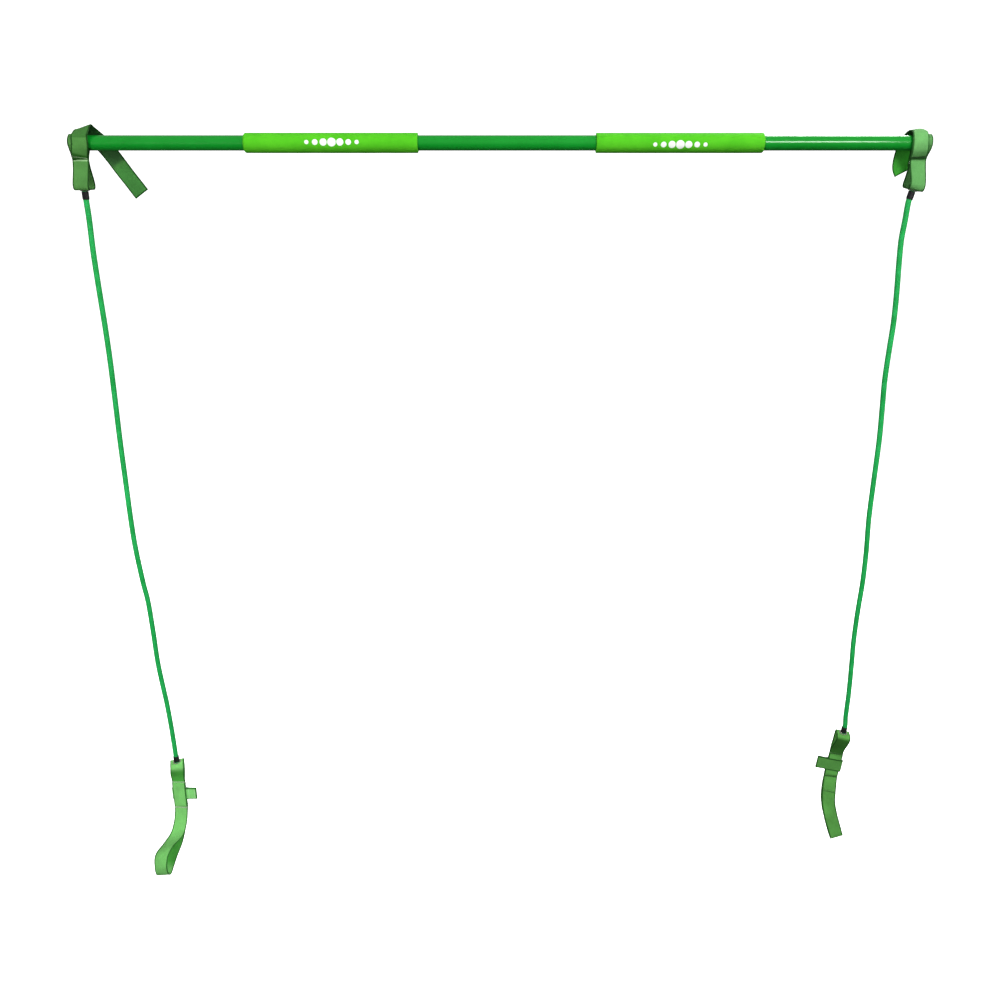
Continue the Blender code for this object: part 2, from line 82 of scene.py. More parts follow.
KEEPER_STITCH_ROWS = (0.0035, 0.0145)
EDGE_RIPPLE = 0.0006
WEAVE_COLUMN = 0.00115
WEAVE_PICK = 0.0021
DOT_PITCH = 0.0125
FLOOR_Z = -1.45

BIGHT = (
    (0.0045, 0.0), (0.0082, 0.0001), (0.0110, 0.0022), (0.0120, 0.0065), (0.0106, 0.0125), (0.0072, 0.0215),
    (0.0036, 0.0305), (0.0014, 0.0385), (LAYER_OFFSET, 0.0440),
)
BIGHT_LENGTH = BIGHT[-1][1]

BAR_STRAP_FLAT_Z = -0.0672
BAR_STRAPS = {
    "left": {"bar_x": -0.6345, "seam_x": -0.6349, "flat_x": -0.6353, "turn": radians(2), "lean": 0.0},
    "right": {"bar_x": 0.6350, "seam_x": 0.6330, "flat_x": 0.6313, "turn": radians(-5), "lean": radians(13)},
}

CINCH_ROUTES = {
    "left": (
        ((-0.6340, -0.0030, -0.0232), (1, 0, 0)), ((-0.6340, -0.0048, -0.0203), (1, 0, 0)),
        ((-0.6318, -0.0096, -0.0148), (1, 0, 0)), ((-0.6290, -0.0137, -0.0080), (1, 0, 0)),
        ((-0.6272, -0.0155, 0.0), (1, 0, 0)), ((-0.6271, -0.0151, 0.0068), (1, 0, 0.02)),
        ((-0.6270, -0.0146, 0.0108), (1, 0, 0.03)), ((-0.6268, -0.0136, 0.0124), (1, 0, 0.05)),
        ((-0.6264, -0.0108, 0.0145), (1, 0, 0.08)), ((-0.6258, -0.0045, 0.0192), (0.98, 0, 0.20)),
        ((-0.6252, 0.0015, 0.0222), (0.95, -0.05, 0.30)), ((-0.6249, 0.0062, 0.0217), (0.93, -0.12, 0.36)),
        ((-0.6232, 0.0112, 0.0175), (0.80, -0.22, 0.55)), ((-0.6160, 0.0147, 0.0090), (0.74, -0.10, 0.66)),
        ((-0.6040, 0.0156, -0.0030), (0.78, 0, 0.62)), ((-0.5920, 0.0156, -0.0185), (0.82, 0, 0.57)),
        ((-0.5774, 0.0150, -0.0400), (0.83, 0, 0.56)), ((-0.5532, 0.0140, -0.0748), (0.83, 0, 0.56)),
    ),
    "right": (
        ((0.6310, -0.0031, -0.0224), (1, 0, 0)), ((0.6310, -0.0052, -0.0198), (1, 0, 0)),
        ((0.6302, -0.0102, -0.0154), (1, 0, 0)), ((0.6290, -0.0150, -0.0090), (1, 0, 0)),
        ((0.6282, -0.0172, 0.0), (1, 0, 0)), ((0.6279, -0.0160, 0.0085), (1, 0, 0.02)),
        ((0.6285, -0.0115, 0.0152), (1, 0, 0)), ((0.6295, -0.0050, 0.0190), (1, 0, -0.02)),
        ((0.6302, 0.0020, 0.0194), (0.99, 0, -0.08)), ((0.6288, 0.0092, 0.0160), (0.97, 0, -0.22)),
        ((0.6240, 0.0146, 0.0070), (0.92, 0, -0.36)), ((0.6180, 0.0158, -0.0040), (0.95, 0, -0.25)),
        ((0.6145, 0.0156, -0.0165), (1, 0, -0.02)), ((0.6130, 0.0152, -0.0290), (0.96, 0, 0.26)),
        ((0.6137, 0.0148, -0.0368), (0.88, 0, 0.45)), ((0.6173, 0.0145, -0.0440), (0.83, 0, 0.56)),
    ),
}

# How far the cinch strap's edges curl towards the bar, by distance along it.
CINCH_CUPS = {
    "left": ((0.0, 0.0), (0.020, 0.0003), (0.14, 0.0003)),
    "right": (
        (0.0, 0.0), (0.012, 0.0008), (0.030, 0.0026), (0.050, 0.0042), (0.062, 0.0034), (0.080, 0.0008),
        (0.14, 0.0004),
    ),
}

FOOT_STRAPS = {
    "left": {
        "flat": (-0.6136, 0.0, -1.1080),
        "flat_width": (0.961, 0.276, 0.03),
        "seam_x": -0.6155,
        "width": (1, 0, 0),
        "sewn_end": (-0.6167, 0.0, -1.2105),
        "keeper_z": -1.1800,
        "tab_side": 1,
        "held_layer": -1,
        "loop": (
            ((-0.6186, -0.0065, -1.2350), (1, 0, -0.02)),
            ((-0.6264, -0.0135, -1.2622), (0.86, 0.25, -0.42)),
            ((-0.6438, -0.0210, -1.2830), (0.50, 0.50, -0.70)),
            ((-0.6574, -0.0260, -1.3040), (0.88, 0.30, -0.35)),
            ((-0.6630, -0.0255, -1.3300), (1, 0, -0.05)), ((-0.6650, -0.0195, -1.3535), (1, 0.05, 0)),
            ((-0.6652, -0.0090, -1.3660), (1, 0.08, 0)), ((-0.6635, 0.0010, -1.3610), (1, 0.05, -0.08)),
            ((-0.6535, 0.0080, -1.3330), (0.95, 0, -0.30)), ((-0.6385, 0.0092, -1.2970), (0.96, 0, -0.20)),
            ((-0.6248, 0.0062, -1.2500), (1, 0, -0.04)),
        ),
    },
    "right": {
        "flat": (0.6438, 0.0, -1.0435),
        "flat_width": (0.979, -0.176, -0.10),
        "seam_x": 0.6362,
        "width": (0.974, -0.173, -0.13),
        "sewn_end": (0.6312, 0.0, -1.1380),
        "keeper_z": -1.1115,
        "tab_side": -1,
        "held_layer": 1,
        "loop": (
            ((0.6308, -0.0042, -1.1680), (0.91, -0.40, -0.03)),
            ((0.6326, -0.0062, -1.1960), (0.89, -0.44, 0.05)),
            ((0.6402, -0.0085, -1.2270), (0.97, -0.18, 0.17)),
            ((0.6496, -0.0090, -1.2545), (0.95, -0.05, 0.28)),
            ((0.6566, -0.0074, -1.2744), (0.94, 0, 0.33)), ((0.6576, -0.0020, -1.2772), (0.94, 0, 0.33)),
            ((0.6534, 0.0032, -1.2655), (0.95, -0.02, 0.30)),
            ((0.6424, 0.0042, -1.2315), (0.97, -0.16, 0.18)),
            ((0.6338, 0.0038, -1.1990), (0.90, -0.42, 0.05)),
            ((0.6313, 0.0032, -1.1680), (0.92, -0.38, -0.03)),
        ),
    },
}

TUBE_ROUTES = {
    "left": (
        (-0.6349, -0.113), (-0.6357, -0.160), (-0.6350, -0.215), (-0.6336, -0.280), (-0.6333, -0.335),
        (-0.6342, -0.400), (-0.6355, -0.470), (-0.6358, -0.540), (-0.6361, -0.610), (-0.6349, -0.665),
        (-0.6304, -0.728), (-0.6260, -0.770), (-0.6244, -0.830), (-0.6238, -0.888), (-0.6212, -0.931),
        (-0.6177, -0.975), (-0.6156, -1.020), (-0.6145, -1.062),
    ),
    "right": (
        (0.6262, -0.113), (0.6246, -0.143), (0.6262, -0.180), (0.6290, -0.225), (0.6306, -0.270),
        (0.6297, -0.320), (0.6294, -0.366), (0.6318, -0.415), (0.6342, -0.470), (0.6346, -0.540),
        (0.6354, -0.610), (0.6388, -0.670), (0.6402, -0.727), (0.6389, -0.786), (0.6390, -0.845),
        (0.6415, -0.900), (0.6438, -0.960), (0.6442, -1.005),
    ),
}

# Where the middle of each grip's print lies along the bar, and how many degrees it faces up.
GRIP_PRINTS = {"left": (-0.2515, 6.5), "right": (0.2695, -8.0)}

# ---------------------------------------------------------------- camera


def make_camera():
    data = bpy.data.cameras.new("camera")
    data.lens = 36
    data.sensor_width = 36
    data.clip_start = 0.01
    data.clip_end = 200
    camera = bpy.data.objects.new("camera", data)
    bpy.context.collection.objects.link(camera)
    camera.location = (0, -1.5988, 0.0324)
    camera.rotation_euler = (radians(69.19), 0, 0)
    bpy.context.scene.camera = camera


# ---------------------------------------------------------------- node materials


class Nodes:
    """Short calls for building one material's node tree."""

    def __init__(self, name):
        self.material = bpy.data.materials.new(name)
        self.material.use_nodes = True
        self.tree = self.material.node_tree
        self.shader = self.tree.nodes["Principled BSDF"]

    def put(self, socket, value):
        if isinstance(value, bpy.types.NodeSocket):
            self.tree.links.new(value, socket)
        elif value is not None:
            socket.default_value = value

    def add(self, kind, **settings):
        node = self.tree.nodes.new(kind)
        for key, value in settings.items():
            setattr(node, key, value)
        return node

    def fill(self, node, **values):
        """Gives a node's inputs their values, an underscore in a name standing for a space."""
        for name, value in values.items():
            self.put(node.inputs[name.replace("_", " ")], value)
        return node

    def math(self, operation, a, b=None):
        node = self.add("ShaderNodeMath", operation=operation)
        self.put(node.inputs[0], a)
        self.put(node.inputs[1], b)
        return node.outputs[0]

    def times(self, a, b):
        return self.math("MULTIPLY", a, b)

    def plus(self, a, b):
        return self.math("ADD", a, b)

    def minus(self, a, b):
        return self.math("SUBTRACT", a, b)

    def remap(self, value, low, high, to_low=0.0, to_high=1.0, smooth=False):
        node = self.add("ShaderNodeMapRange", clamp=True)
        if smooth:
            node.interpolation_type = "SMOOTHSTEP"
        self.fill(node, Value=value, From_Min=low, From_Max=high, To_Min=to_low, To_Max=to_high)
        return node.outputs[0]

    def mix(self, share, a, b, blend="MIX"):
        node = self.add("ShaderNodeMix", data_type="RGBA", blend_type=blend)
        self.put(node.inputs[0], share)
        self.put(node.inputs[6], a)
        self.put(node.inputs[7], b)
        return node.outputs[2]

    def split(self, vector):
        node = self.add("ShaderNodeSeparateXYZ")
        self.put(node.inputs[0], vector)
        return node.outputs

    def join(self, x, y, z):
        node = self.add("ShaderNodeCombineXYZ")
        for socket, value in zip(node.inputs, (x, y, z)):
            self.put(socket, value)
        return node.outputs[0]

    def object_place(self):
        return self.add("ShaderNodeTexCoord").outputs["Object"]

    def uv(self):
        node = self.add("ShaderNodeUVMap")
        node.uv_map = "along_across"
        return node.outputs[0]

    def noise(self, vector, scale, detail=3.0, roughness=0.55):
        node = self.add("ShaderNodeTexNoise")
        self.fill(node, Vector=vector, Scale=scale, Detail=detail, Roughness=roughness)
        return node.outputs["Fac"]

    def cells(self, vector, scale):
        node = self.add("ShaderNodeTexVoronoi")
        return self.fill(node, Vector=vector, Scale=scale).outputs["Distance"]

    def bump(self, height, distance, strength):
        """Bump as the material's normal."""
        node = self.fill(self.add("ShaderNodeBump"), Strength=strength, Distance=distance, Height=height)
        self.put(self.shader.inputs["Normal"], node.outputs[0])

    def finish(self, **sockets):
        self.fill(self.shader, **sockets)
        return self.material


def scaled(colour, factor):
    return tuple(c * factor for c in colour[:3]) + (1,)


def webbing_material(name, colour, length=None, shades=()):
    """Flat warp-faced webbing: staggered oval floats in columns along the strap, painted shade in the grooves
    between the floats and along both edges, fuzz and fading. A length marks an open strip, whose cut ends are
    sealed dark. Each shade is (from, to, colour, softness) along the strap: painted shade where a fold or the
    bar shades the cloth, and narrow bands at the seams."""
    n = Nodes(name)
    along, across, _ = n.split(n.uv())
    column = n.math("DIVIDE", across, WEAVE_COLUMN)
    column_number = n.math("FLOOR", column)
    in_column = n.minus(n.math("FRACT", column), 0.5)
    stagger = n.times(n.math("MODULO", n.math("ABSOLUTE", column_number), 2.0), 0.5)
    pick = n.plus(n.math("DIVIDE", along, WEAVE_PICK), stagger)
    in_pick = n.math("ABSOLUTE", n.math("SINE", n.times(pick, pi)))
    crown = n.minus(1.0, n.times(n.times(in_column, in_column), 4.0))
    float_height = n.times(crown, n.math("POWER", in_pick, 0.45))
    place = n.object_place()
    strand_noise = n.noise(n.join(column_number, n.times(along, 60.0), 0.0), 1.0, 2.0)
    fading = n.noise(place, 26.0, 4.0, 0.6)
    fuzz = n.noise(place, 2600.0, 2.0, 0.7)
    wander = n.times(n.minus(fading, 0.5), 0.0010)
    edge = n.remap(n.plus(n.math("ABSOLUTE", across), wander), 0.0100, 0.0110, smooth=True)
    base = colour
    dark = (colour[0] * 0.06, colour[1] * 0.16, colour[2] * 0.07, 1)
    # Painted shade: along each stretch the colour is mixed towards a darker one where a fold or the bar
    # shades the cloth; at the seams a narrow band takes the seam's colour.
    for low, high, shade, softness in shades:
        rise = n.remap(along, low - softness / 2, low + softness / 2, smooth=True)
        fall = n.remap(along, high - softness / 2, high + softness / 2, 1.0, 0.0, smooth=True)
        base = n.mix(n.times(rise, fall), base, shade + (1,))
    light = n.remap(fading, 0.32, 0.68, 0.84, 1.12)
    light = n.times(light, n.remap(strand_noise, 0.35, 0.65, 1.0, 1.10))
    # Darker in the grooves between the floats: painted shade.
    light = n.times(light, n.remap(float_height, 0.0, 0.75, 0.52, 1.0))
    tone = n.mix(1.0, base, n.join(light, light, light), blend="MULTIPLY")
    tone = n.mix(n.remap(fuzz, 0.60, 0.80, 0.0, 0.22), tone, scaled(colour, 1.7))
    # Painted shade: the cloth darkened along both edges.
    tone = n.mix(n.times(edge, 0.88), tone, dark)
    if length:
        to_end = n.math("MINIMUM", along, n.minus(length, along))
        seal = n.remap(n.plus(to_end, wander), 0.0012, 0.0023, 0.9, 0.0, smooth=True)
        tone = n.mix(seal, tone, dark)
    height = n.plus(float_height, n.times(fuzz, 0.25))
    n.bump(height, 0.00034, 0.75)
    return n.finish(
        Base_Color=tone,
        Roughness=n.remap(fading, 0.3, 0.7, 0.74, 0.88),
        Specular_IOR_Level=0.18,
        Sheen_Weight=0.06,
        Sheen_Roughness=0.45,
        Sheen_Tint=(0.50, 0.95, 0.40, 1),
    )


def thread_material(name, colour):
    n = Nodes(name)
    along, across, _ = n.split(n.uv())
    twist = n.math("SINE", n.plus(n.times(along, 9000.0), n.times(across, 6.3)))
    tone = n.mix(n.remap(twist, -1.0, 1.0), scaled(colour, 0.62), colour)
    n.bump(twist, 0.00008, 0.8)
    return n.finish(Base_Color=tone, Roughness=0.55, Sheen_Weight=0.2)


def bar_paint_material():
    """Glossy green enamel on steel: faint orange peel, fine scratches, and rub marks by the straps."""
    n = Nodes("bar_enamel")
    place = n.object_place()
    x, y, z = n.split(place)
    peel = n.noise(place, 420.0, 3.0, 0.5)
    stretched = n.join(n.times(x, 5.0), n.times(y, 420.0), n.times(z, 420.0))
    scratch = n.remap(n.noise(stretched, 6.0, 4.0, 0.75), 0.66, 0.74)
    cloud = n.noise(place, 14.0, 4.0, 0.6)
    rub = n.remap(n.math("ABSOLUTE", x), 0.604, 0.622, 0.0, 1.0, smooth=True)
    tone = n.mix(n.remap(cloud, 0.3, 0.7), (0.0035, 0.228, 0.016, 1), (0.005, 0.272, 0.022, 1))
    tone = n.mix(n.times(scratch, 0.22), tone, (0.04, 0.46, 0.08, 1))
    tone = n.mix(n.times(rub, n.remap(cloud, 0.45, 0.65, 0.05, 0.35)), tone, (0.01, 0.15, 0.02, 1))
    rough = n.plus(n.remap(cloud, 0.3, 0.7, 0.26, 0.36), n.times(scratch, 0.20))
    n.bump(peel, 0.00006, 0.20)
    return n.finish(
        Base_Color=tone,
        Roughness=rough,
        Specular_IOR_Level=0.08,
        Coat_Weight=0.55,
        Coat_Roughness=0.10,
    )


def foam_material(side):
    """Closed-cell foam with fine pores, and a printed row of plain dots, the largest in the middle."""
    middle, facing = GRIP_PRINTS[side]
    n = Nodes(side + "_grip_foam_lime")
    place = n.object_place()
    x, y, z = n.split(place)
    pores = n.cells(place, 1500.0)
    fine = n.noise(place, 2400.0, 3.0, 0.65)
    cloud = n.noise(place, 34.0, 4.0, 0.6)
    tone = n.mix(n.remap(cloud, 0.3, 0.7), (0.066, 0.455, 0.0095, 1), (0.092, 0.545, 0.0145, 1))
    # Darker in the pores: painted shade.
    tone = n.mix(n.remap(pores, 0.0, 0.42, 0.55, 0.0), tone, (0.040, 0.330, 0.008, 1))
    angle = n.math("ARCTAN2", z, n.times(y, -1.0))
    arc = n.times(n.minus(angle, radians(facing)), GRIP_RADIUS)
    offset = n.minus(x, middle)
    step = n.math("ROUND", n.math("DIVIDE", offset, DOT_PITCH))
    within = n.minus(offset, n.times(step, DOT_PITCH))
    apart = n.math("SQRT", n.plus(n.times(within, within), n.times(arc, arc)))
    size = n.minus(0.0064, n.times(n.math("ABSOLUTE", step), 0.0011))
    size = n.plus(size, n.times(n.minus(fine, 0.5), 0.0006))
    dot = n.remap(n.minus(size, apart), -0.0001, 0.0001)
    dot = n.times(dot, n.math("LESS_THAN", n.math("ABSOLUTE", step), 3.5))
    dot = n.times(dot, n.remap(pores, 0.02, 0.16, 0.35, 1.0))
    tone = n.mix(dot, tone, (0.86, 0.90, 0.84, 1))
    height = n.plus(n.times(pores, 1.2), n.times(fine, 0.5))
    n.bump(height, 0.00022, 0.55)
    return n.finish(
        Base_Color=tone,
        Roughness=n.remap(fine, 0.3, 0.7, 0.72, 0.92),
        Specular_IOR_Level=0.28,
        Subsurface_Weight=0.08,
        Subsurface_Radius=(0.001, 0.003, 0.001),
        Subsurface_Scale=1.0,
    )


def tube_material():
    """Green latex: slightly cloudy, faint lengthwise draw lines, and a light bloom."""
    n = Nodes("tube_latex")
    along, around, _ = n.split(n.uv())
    place = n.object_place()
    stretched = n.join(n.times(along, 8.0), n.times(around, 22.0), 0.0)
    line = n.noise(stretched, 1.0, 4.0, 0.65)
    cloud = n.noise(place, 45.0, 4.0, 0.6)
    dust = n.noise(place, 900.0, 3.0, 0.7)
    tone = n.mix(n.remap(cloud, 0.3, 0.7), (0.008, 0.330, 0.058, 1), (0.022, 0.470, 0.110, 1))
    tone = n.mix(n.remap(line, 0.55, 0.72, 0.0, 0.35), tone, (0.003, 0.19, 0.05, 1))
    tone = n.mix(n.remap(dust, 0.62, 0.78, 0.0, 0.22), tone, (0.20, 0.55, 0.30, 1))
    rough = n.remap(dust, 0.3, 0.8, 0.26, 0.44)
    n.bump(line, 0.00010, 0.35)
    return n.finish(
        Base_Color=tone,
        Roughness=rough,
        Subsurface_Weight=0.25,
        Subsurface_Radius=(0.0008, 0.0030, 0.0014),
        Subsurface_Scale=1.0,
        Specular_IOR_Level=0.35,
        Coat_Weight=0.10,
        Coat_Roughness=0.25,
    )


def black_material(name, roughness, grain):
    n = Nodes(name)
    place = n.object_place()
    speck = n.noise(place, grain, 4.0, 0.7)
    cloud = n.noise(place, 120.0, 3.0, 0.6)
    tone = n.mix(n.remap(cloud, 0.3, 0.7), (0.003, 0.003, 0.004, 1), (0.010, 0.009, 0.012, 1))
    tone = n.mix(n.remap(speck, 0.62, 0.76, 0.0, 0.35), tone, (0.04, 0.04, 0.043, 1))
    n.bump(speck, 0.00008, 0.5)
    return n.finish(Base_Color=tone, Roughness=n.remap(speck, 0.3, 0.7, roughness - 0.08, roughness + 0.1))


def plated_material():
    """Nickel plate with fine circular polishing and a little tarnish."""
    n = Nodes("nickel_plate")
    place = n.object_place()
    fine = n.noise(place, 1800.0, 4.0, 0.7)
    stain = n.noise(place, 260.0, 4.0, 0.65)
    tone = n.mix(n.remap(stain, 0.45, 0.70), (0.80, 0.78, 0.70, 1), (0.50, 0.44, 0.32, 1))
    n.bump(fine, 0.00003, 0.5)
    return n.finish(Base_Color=tone, Metallic=1.0, Roughness=n.remap(stain, 0.3, 0.7, 0.16, 0.38))


# ---------------------------------------------------------------- mesh helpers


def smooth_route(stations, steps, closed):
    """Points on a Catmull-Rom curve through the stations, each a list of numbers of any length."""
    count = len(stations)
    route = []
    for i in range(count if closed else count - 1):
        b = stations[i]
        c = stations[(i + 1) % count]
        a = stations[i - 1] if closed or i > 0 else [2 * p - q for p, q in zip(b, c)]
        d = stations[(i + 2) % count] if closed or i + 2 < count else [2 * p - q for p, q in zip(c, b)]
        for k in range(steps):
            t = k / steps
            weights = (
                -0.5 * t + t * t - 0.5 * t**3,
                1 - 2.5 * t * t + 1.5 * t**3,
                0.5 * t + 2 * t * t - 1.5 * t**3,
                -0.5 * t * t + 0.5 * t**3,
            )
            route.append([sum(w * p for w, p in zip(weights, four)) for four in zip(a, b, c, d)])
    if not closed:
        route.append(list(stations[-1]))
    return route


def even_route(stations, spacing, closed):
    """The smooth curve read again at even steps, with the distance along it at each point."""
    fine = smooth_route(stations, 40, closed)
    if closed:
        fine.append(fine[0])
    places = [Vector(p[:3]) for p in fine]
    marks = [0.0]
    for a, b in zip(places, places[1:]):
        marks.append(marks[-1] + (b - a).length)
    count = max(2, round(marks[-1] / spacing))
    route, k = [], 0
    for i in range(count if closed else count + 1):
        at = marks[-1] * i / count
        while k < len(marks) - 2 and marks[k + 1] < at:
            k += 1
        share = (at - marks[k]) / max(marks[k + 1] - marks[k], 1e-9)
        route.append([p + (q - p) * share for p, q in zip(fine[k], fine[k + 1])])
    return route, marks[-1]


def new_object(name, vertices, faces, material, body, uvs=None):
    mesh = bpy.data.meshes.new(name)
    mesh.from_pydata([tuple(v) for v in vertices], [], faces)
    if uvs is not None:
        layer = mesh.uv_layers.new(name="along_across")
        flat = [number for face_uvs in uvs for pair in face_uvs for number in pair]
        layer.data.foreach_set("uv", flat)
    mesh.validate()
    mesh.update()
    mesh.shade_smooth()
    mesh.set_sharp_from_angle(angle=radians(48))
    mesh.materials.append(material)
    obj = bpy.data.objects.new(name, mesh)
    bpy.context.collection.objects.link(obj)
    if body:
        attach(obj, body)
    return obj


class Strap:
    """A strap's even route with its frame at every point, so that stitches can be laid on it."""

    def __init__(self, stations, closed, spacing=0.0012):
        rows = [tuple(place) + tuple(across) for place, across in stations]
        self.closed = closed
        route, self.length = even_route(rows, spacing, closed)
        self.places = [Vector(r[:3]) for r in route]
        self.across, self.out = [], []
        count = len(route)
        for i, row in enumerate(route):
            before = self.places[i - 1] if closed or i else self.places[i]
            after = self.places[(i + 1) % count] if closed or i + 1 < count else self.places[i]
            tangent = (after - before).normalized()
            across = Vector(row[3:])
            across = (across - tangent * across.dot(tangent)).normalized()
            self.across.append(across)
            self.out.append(tangent.cross(across).normalized())
        self.step = self.length / (count if closed else count - 1)

    def nearest(self, place):
        place = Vector(place)
        return min(range(len(self.places)), key=lambda i: (self.places[i] - place).length)

    def at(self, index, along, a, lift):
        """A place on the strap: metres along from the indexed point, across it, and out of its middle."""
        shift = index + along / self.step
        count = len(self.places)
        low = int(shift // 1)
        share = shift - low
        if self.closed:
            i, j = low % count, (low + 1) % count
        else:
            i, j = min(max(low, 0), count - 1), min(max(low + 1, 0), count - 1)
        place = self.places[i].lerp(self.places[j], share)
        across = self.across[i].lerp(self.across[j], share)
        out = self.out[i].lerp(self.out[j], share)
        return place + across * a + out * lift


def piecewise(marks, at):
    """The height at a distance, read between the marks, each (distance, height)."""
    for (p, a), (q, b) in zip(marks, marks[1:]):
        if p <= at <= q:
            return blend(a, b, (at - p) / (q - p))
    return marks[-1][1] if marks else 0.0


def make_strap(name, strap, material, body, hole=None, wave=0.0, pinches=(), cup=()):
    """Webbing as a closed solid with rounded selvedges. hole is the centre of the hole for an eyelet, where
    the strap lies flat. wave is how far the edges ripple, pinches are places where stitches press it thin,
    and cup lists (distance along, how far the edges curl out of the middle)."""
    columns = 22
    selvedge = 0.00055
    half, thick = WEBBING_WIDTH / 2, WEBBING_THICKNESS / 2
    flat = half - selvedge
    across = [-flat + 2 * flat * j / columns for j in range(columns + 1)]
    turn = [radians(a) for a in (-60, -30, 0, 30, 60)]
    right = [(flat + selvedge * cos(a), thick * sin(a)) for a in turn]
    section = [(a, -thick) for a in across] + right
    section += [(a, thick) for a in reversed(across)] + [(-a, -t) for a, t in right]
    size, rings = len(section), len(strap.places)
    vertices = []
    for i in range(rings):
        at = i * strap.step
        press = 1.0
        for place in pinches:
            apart = (strap.places[i] - Vector(place)).length
            press = min(press, 0.70 + 0.30 * min(1.0, apart / 0.0030) ** 2)
        curl = piecewise(cup, at)
        for a, t in section:
            edge = noise.noise(Vector((at * 55, 7.3 if a > 0 else 2.1, 0.4)))
            ripple = curl * (a / half) ** 2 + wave * edge * (abs(a) / half) ** 4
            jitter = 0.00004 * noise.noise(Vector((at * 900, a * 900, t * 900)))
            vertices.append(
                strap.places[i]
                + strap.across[i] * (a * (1 - 0.67 * (curl * a / half**2) ** 2) + jitter)
                + strap.out[i] * (t * press + ripple + jitter)
            )
    holes = set()
    for i in range(rings if hole is not None else 0):
        n = (i + 1) % rings
        for j in range(columns):
            a = across[j] + flat / columns
            middle = (strap.places[i] + strap.across[i] * a + strap.places[n] + strap.across[n] * a) / 2
            if (middle - hole).length < EYELET_HOLE_RADIUS:
                holes.add((i, j))
    top_start = columns + 1 + len(turn)

    def corner(i, k):
        return (i % rings) * size + k

    def top(i, j):
        return corner(i, top_start + columns - j)

    faces, uvs = [], []
    cells = {k: k for k in range(columns)}
    cells.update({top_start + k: columns - 1 - k for k in range(columns)})
    for i in range(rings if strap.closed else rings - 1):
        u0, u1 = i * strap.step, (i + 1) * strap.step
        for k in range(size):
            if (i, cells.get(k)) in holes:
                continue
            n = (k + 1) % size
            faces.append((corner(i, k), corner(i, n), corner(i + 1, n), corner(i + 1, k)))
            va, vb = section[k][0], section[n][0]
            uvs.append(((u0, va), (u0, vb), (u1, vb), (u1, va)))
    for i, j in sorted(holes):
        walls = (
            ((i, j - 1), (i, j), (i + 1, j)),
            ((i, j + 1), (i + 1, j + 1), (i, j + 1)),
            (((i - 1) % rings, j), (i, j + 1), (i, j)),
            (((i + 1) % rings, j), (i + 1, j), (i + 1, j + 1)),
        )
        for neighbour, p, q in walls:
            if neighbour not in holes:
                faces.append((corner(*p), corner(*q), top(*q), top(*p)))
                uvs.append(((i * strap.step, across[j]),) * 4)
    if not strap.closed:
        faces += [tuple(reversed(range(size))), tuple(range((rings - 1) * size, rings * size))]
        uvs += [((at, half - 0.0001),) * size for at in (0.0, strap.length)]
    return new_object(name, vertices, faces, material, body, uvs)


def sweep(points, radius, sides):
    """Vertices, faces and UVs of a round rod along the points, closed at both ends."""
    vertices, faces, uvs = [], [], []
    count = len(points)
    points = [Vector(p) for p in points]
    reach = [0.0]
    for a, b in zip(points, points[1:]):
        reach.append(reach[-1] + (b - a).length)
    side = None
    for i, place in enumerate(points):
        tangent = (points[min(i + 1, count - 1)] - points[max(i - 1, 0)]).normalized()
        if side is None:
            side = tangent.orthogonal().normalized()
        side = (side - tangent * side.dot(tangent)).normalized()
        other = tangent.cross(side)
        for k in range(sides):
            angle = 2 * pi * k / sides
            vertices.append(place + (side * cos(angle) + other * sin(angle)) * radius)
    for i in range(count - 1):
        u0, u1 = reach[i], reach[i + 1]
        for k in range(sides):
            n = (k + 1) % sides
            faces.append((i * sides + k, i * sides + n, (i + 1) * sides + n, (i + 1) * sides + k))
            v0, v1 = k / sides, (k + 1) / sides
            uvs.append(((u0, v0), (u0, v1), (u1, v1), (u1, v0)))
    faces += [tuple(reversed(range(sides))), tuple(range((count - 1) * sides, count * sides))]
    uvs += [((0, 0),) * sides, ((reach[-1], 0),) * sides]
    return vertices, faces, uvs


def rods(name, lines, radius, material, body):
    """Several threads as one piece, such as a row of stitches."""
    vertices, faces, uvs = [], [], []
    for line in lines:
        v, f, u = sweep(line, radius, THREAD_SIDES)
        base = len(vertices)
        vertices += v
        faces += [tuple(i + base for i in face) for face in f]
        uvs += u
    return new_object(name, vertices, faces, material, body, uvs)


def turned(name, outline, sides, place, material):
    """A closed outline of (radius, distance along the axis) points, repeated round the axis. The function
    place turns (angle, radius, distance) into a point."""
    size = len(outline)
    angles = [2 * pi * k / sides for k in range(sides)]
    vertices = [place(angle, r, d) for angle in angles for r, d in outline]
    faces = []
    for k in range(sides):
        m = (k + 1) % sides
        for i in range(size):
            j = (i + 1) % size
            if max(outline[i][0], outline[j][0]) >= 1e-7:
                faces.append((k * size + i, m * size + i, m * size + j, k * size + j))
    obj = new_object(name, vertices, faces, material, None)
    weld_and_turn_out(obj)
    return obj


def lathe(name, profile, centre, axis, material, body, sides=64, wobble=0.0):
    """A turned piece at a place and along an axis, its corners eased, its radius uneven by the wobble."""
    rotation = Vector((0, 0, 1)).rotation_difference(Vector(axis).normalized()).to_matrix().to_4x4()
    placed = Matrix.Translation(Vector(centre)) @ rotation

    def place(angle, r, d):
        swell = 1 + wobble * noise.noise(Vector((cos(angle) * 2, sin(angle) * 2, d * 400)))
        return placed @ Vector((cos(angle) * r * swell, sin(angle) * r * swell, d))

    obj = turned(name, ease_corners(profile), sides, place, material)
    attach(obj, body)
    return obj


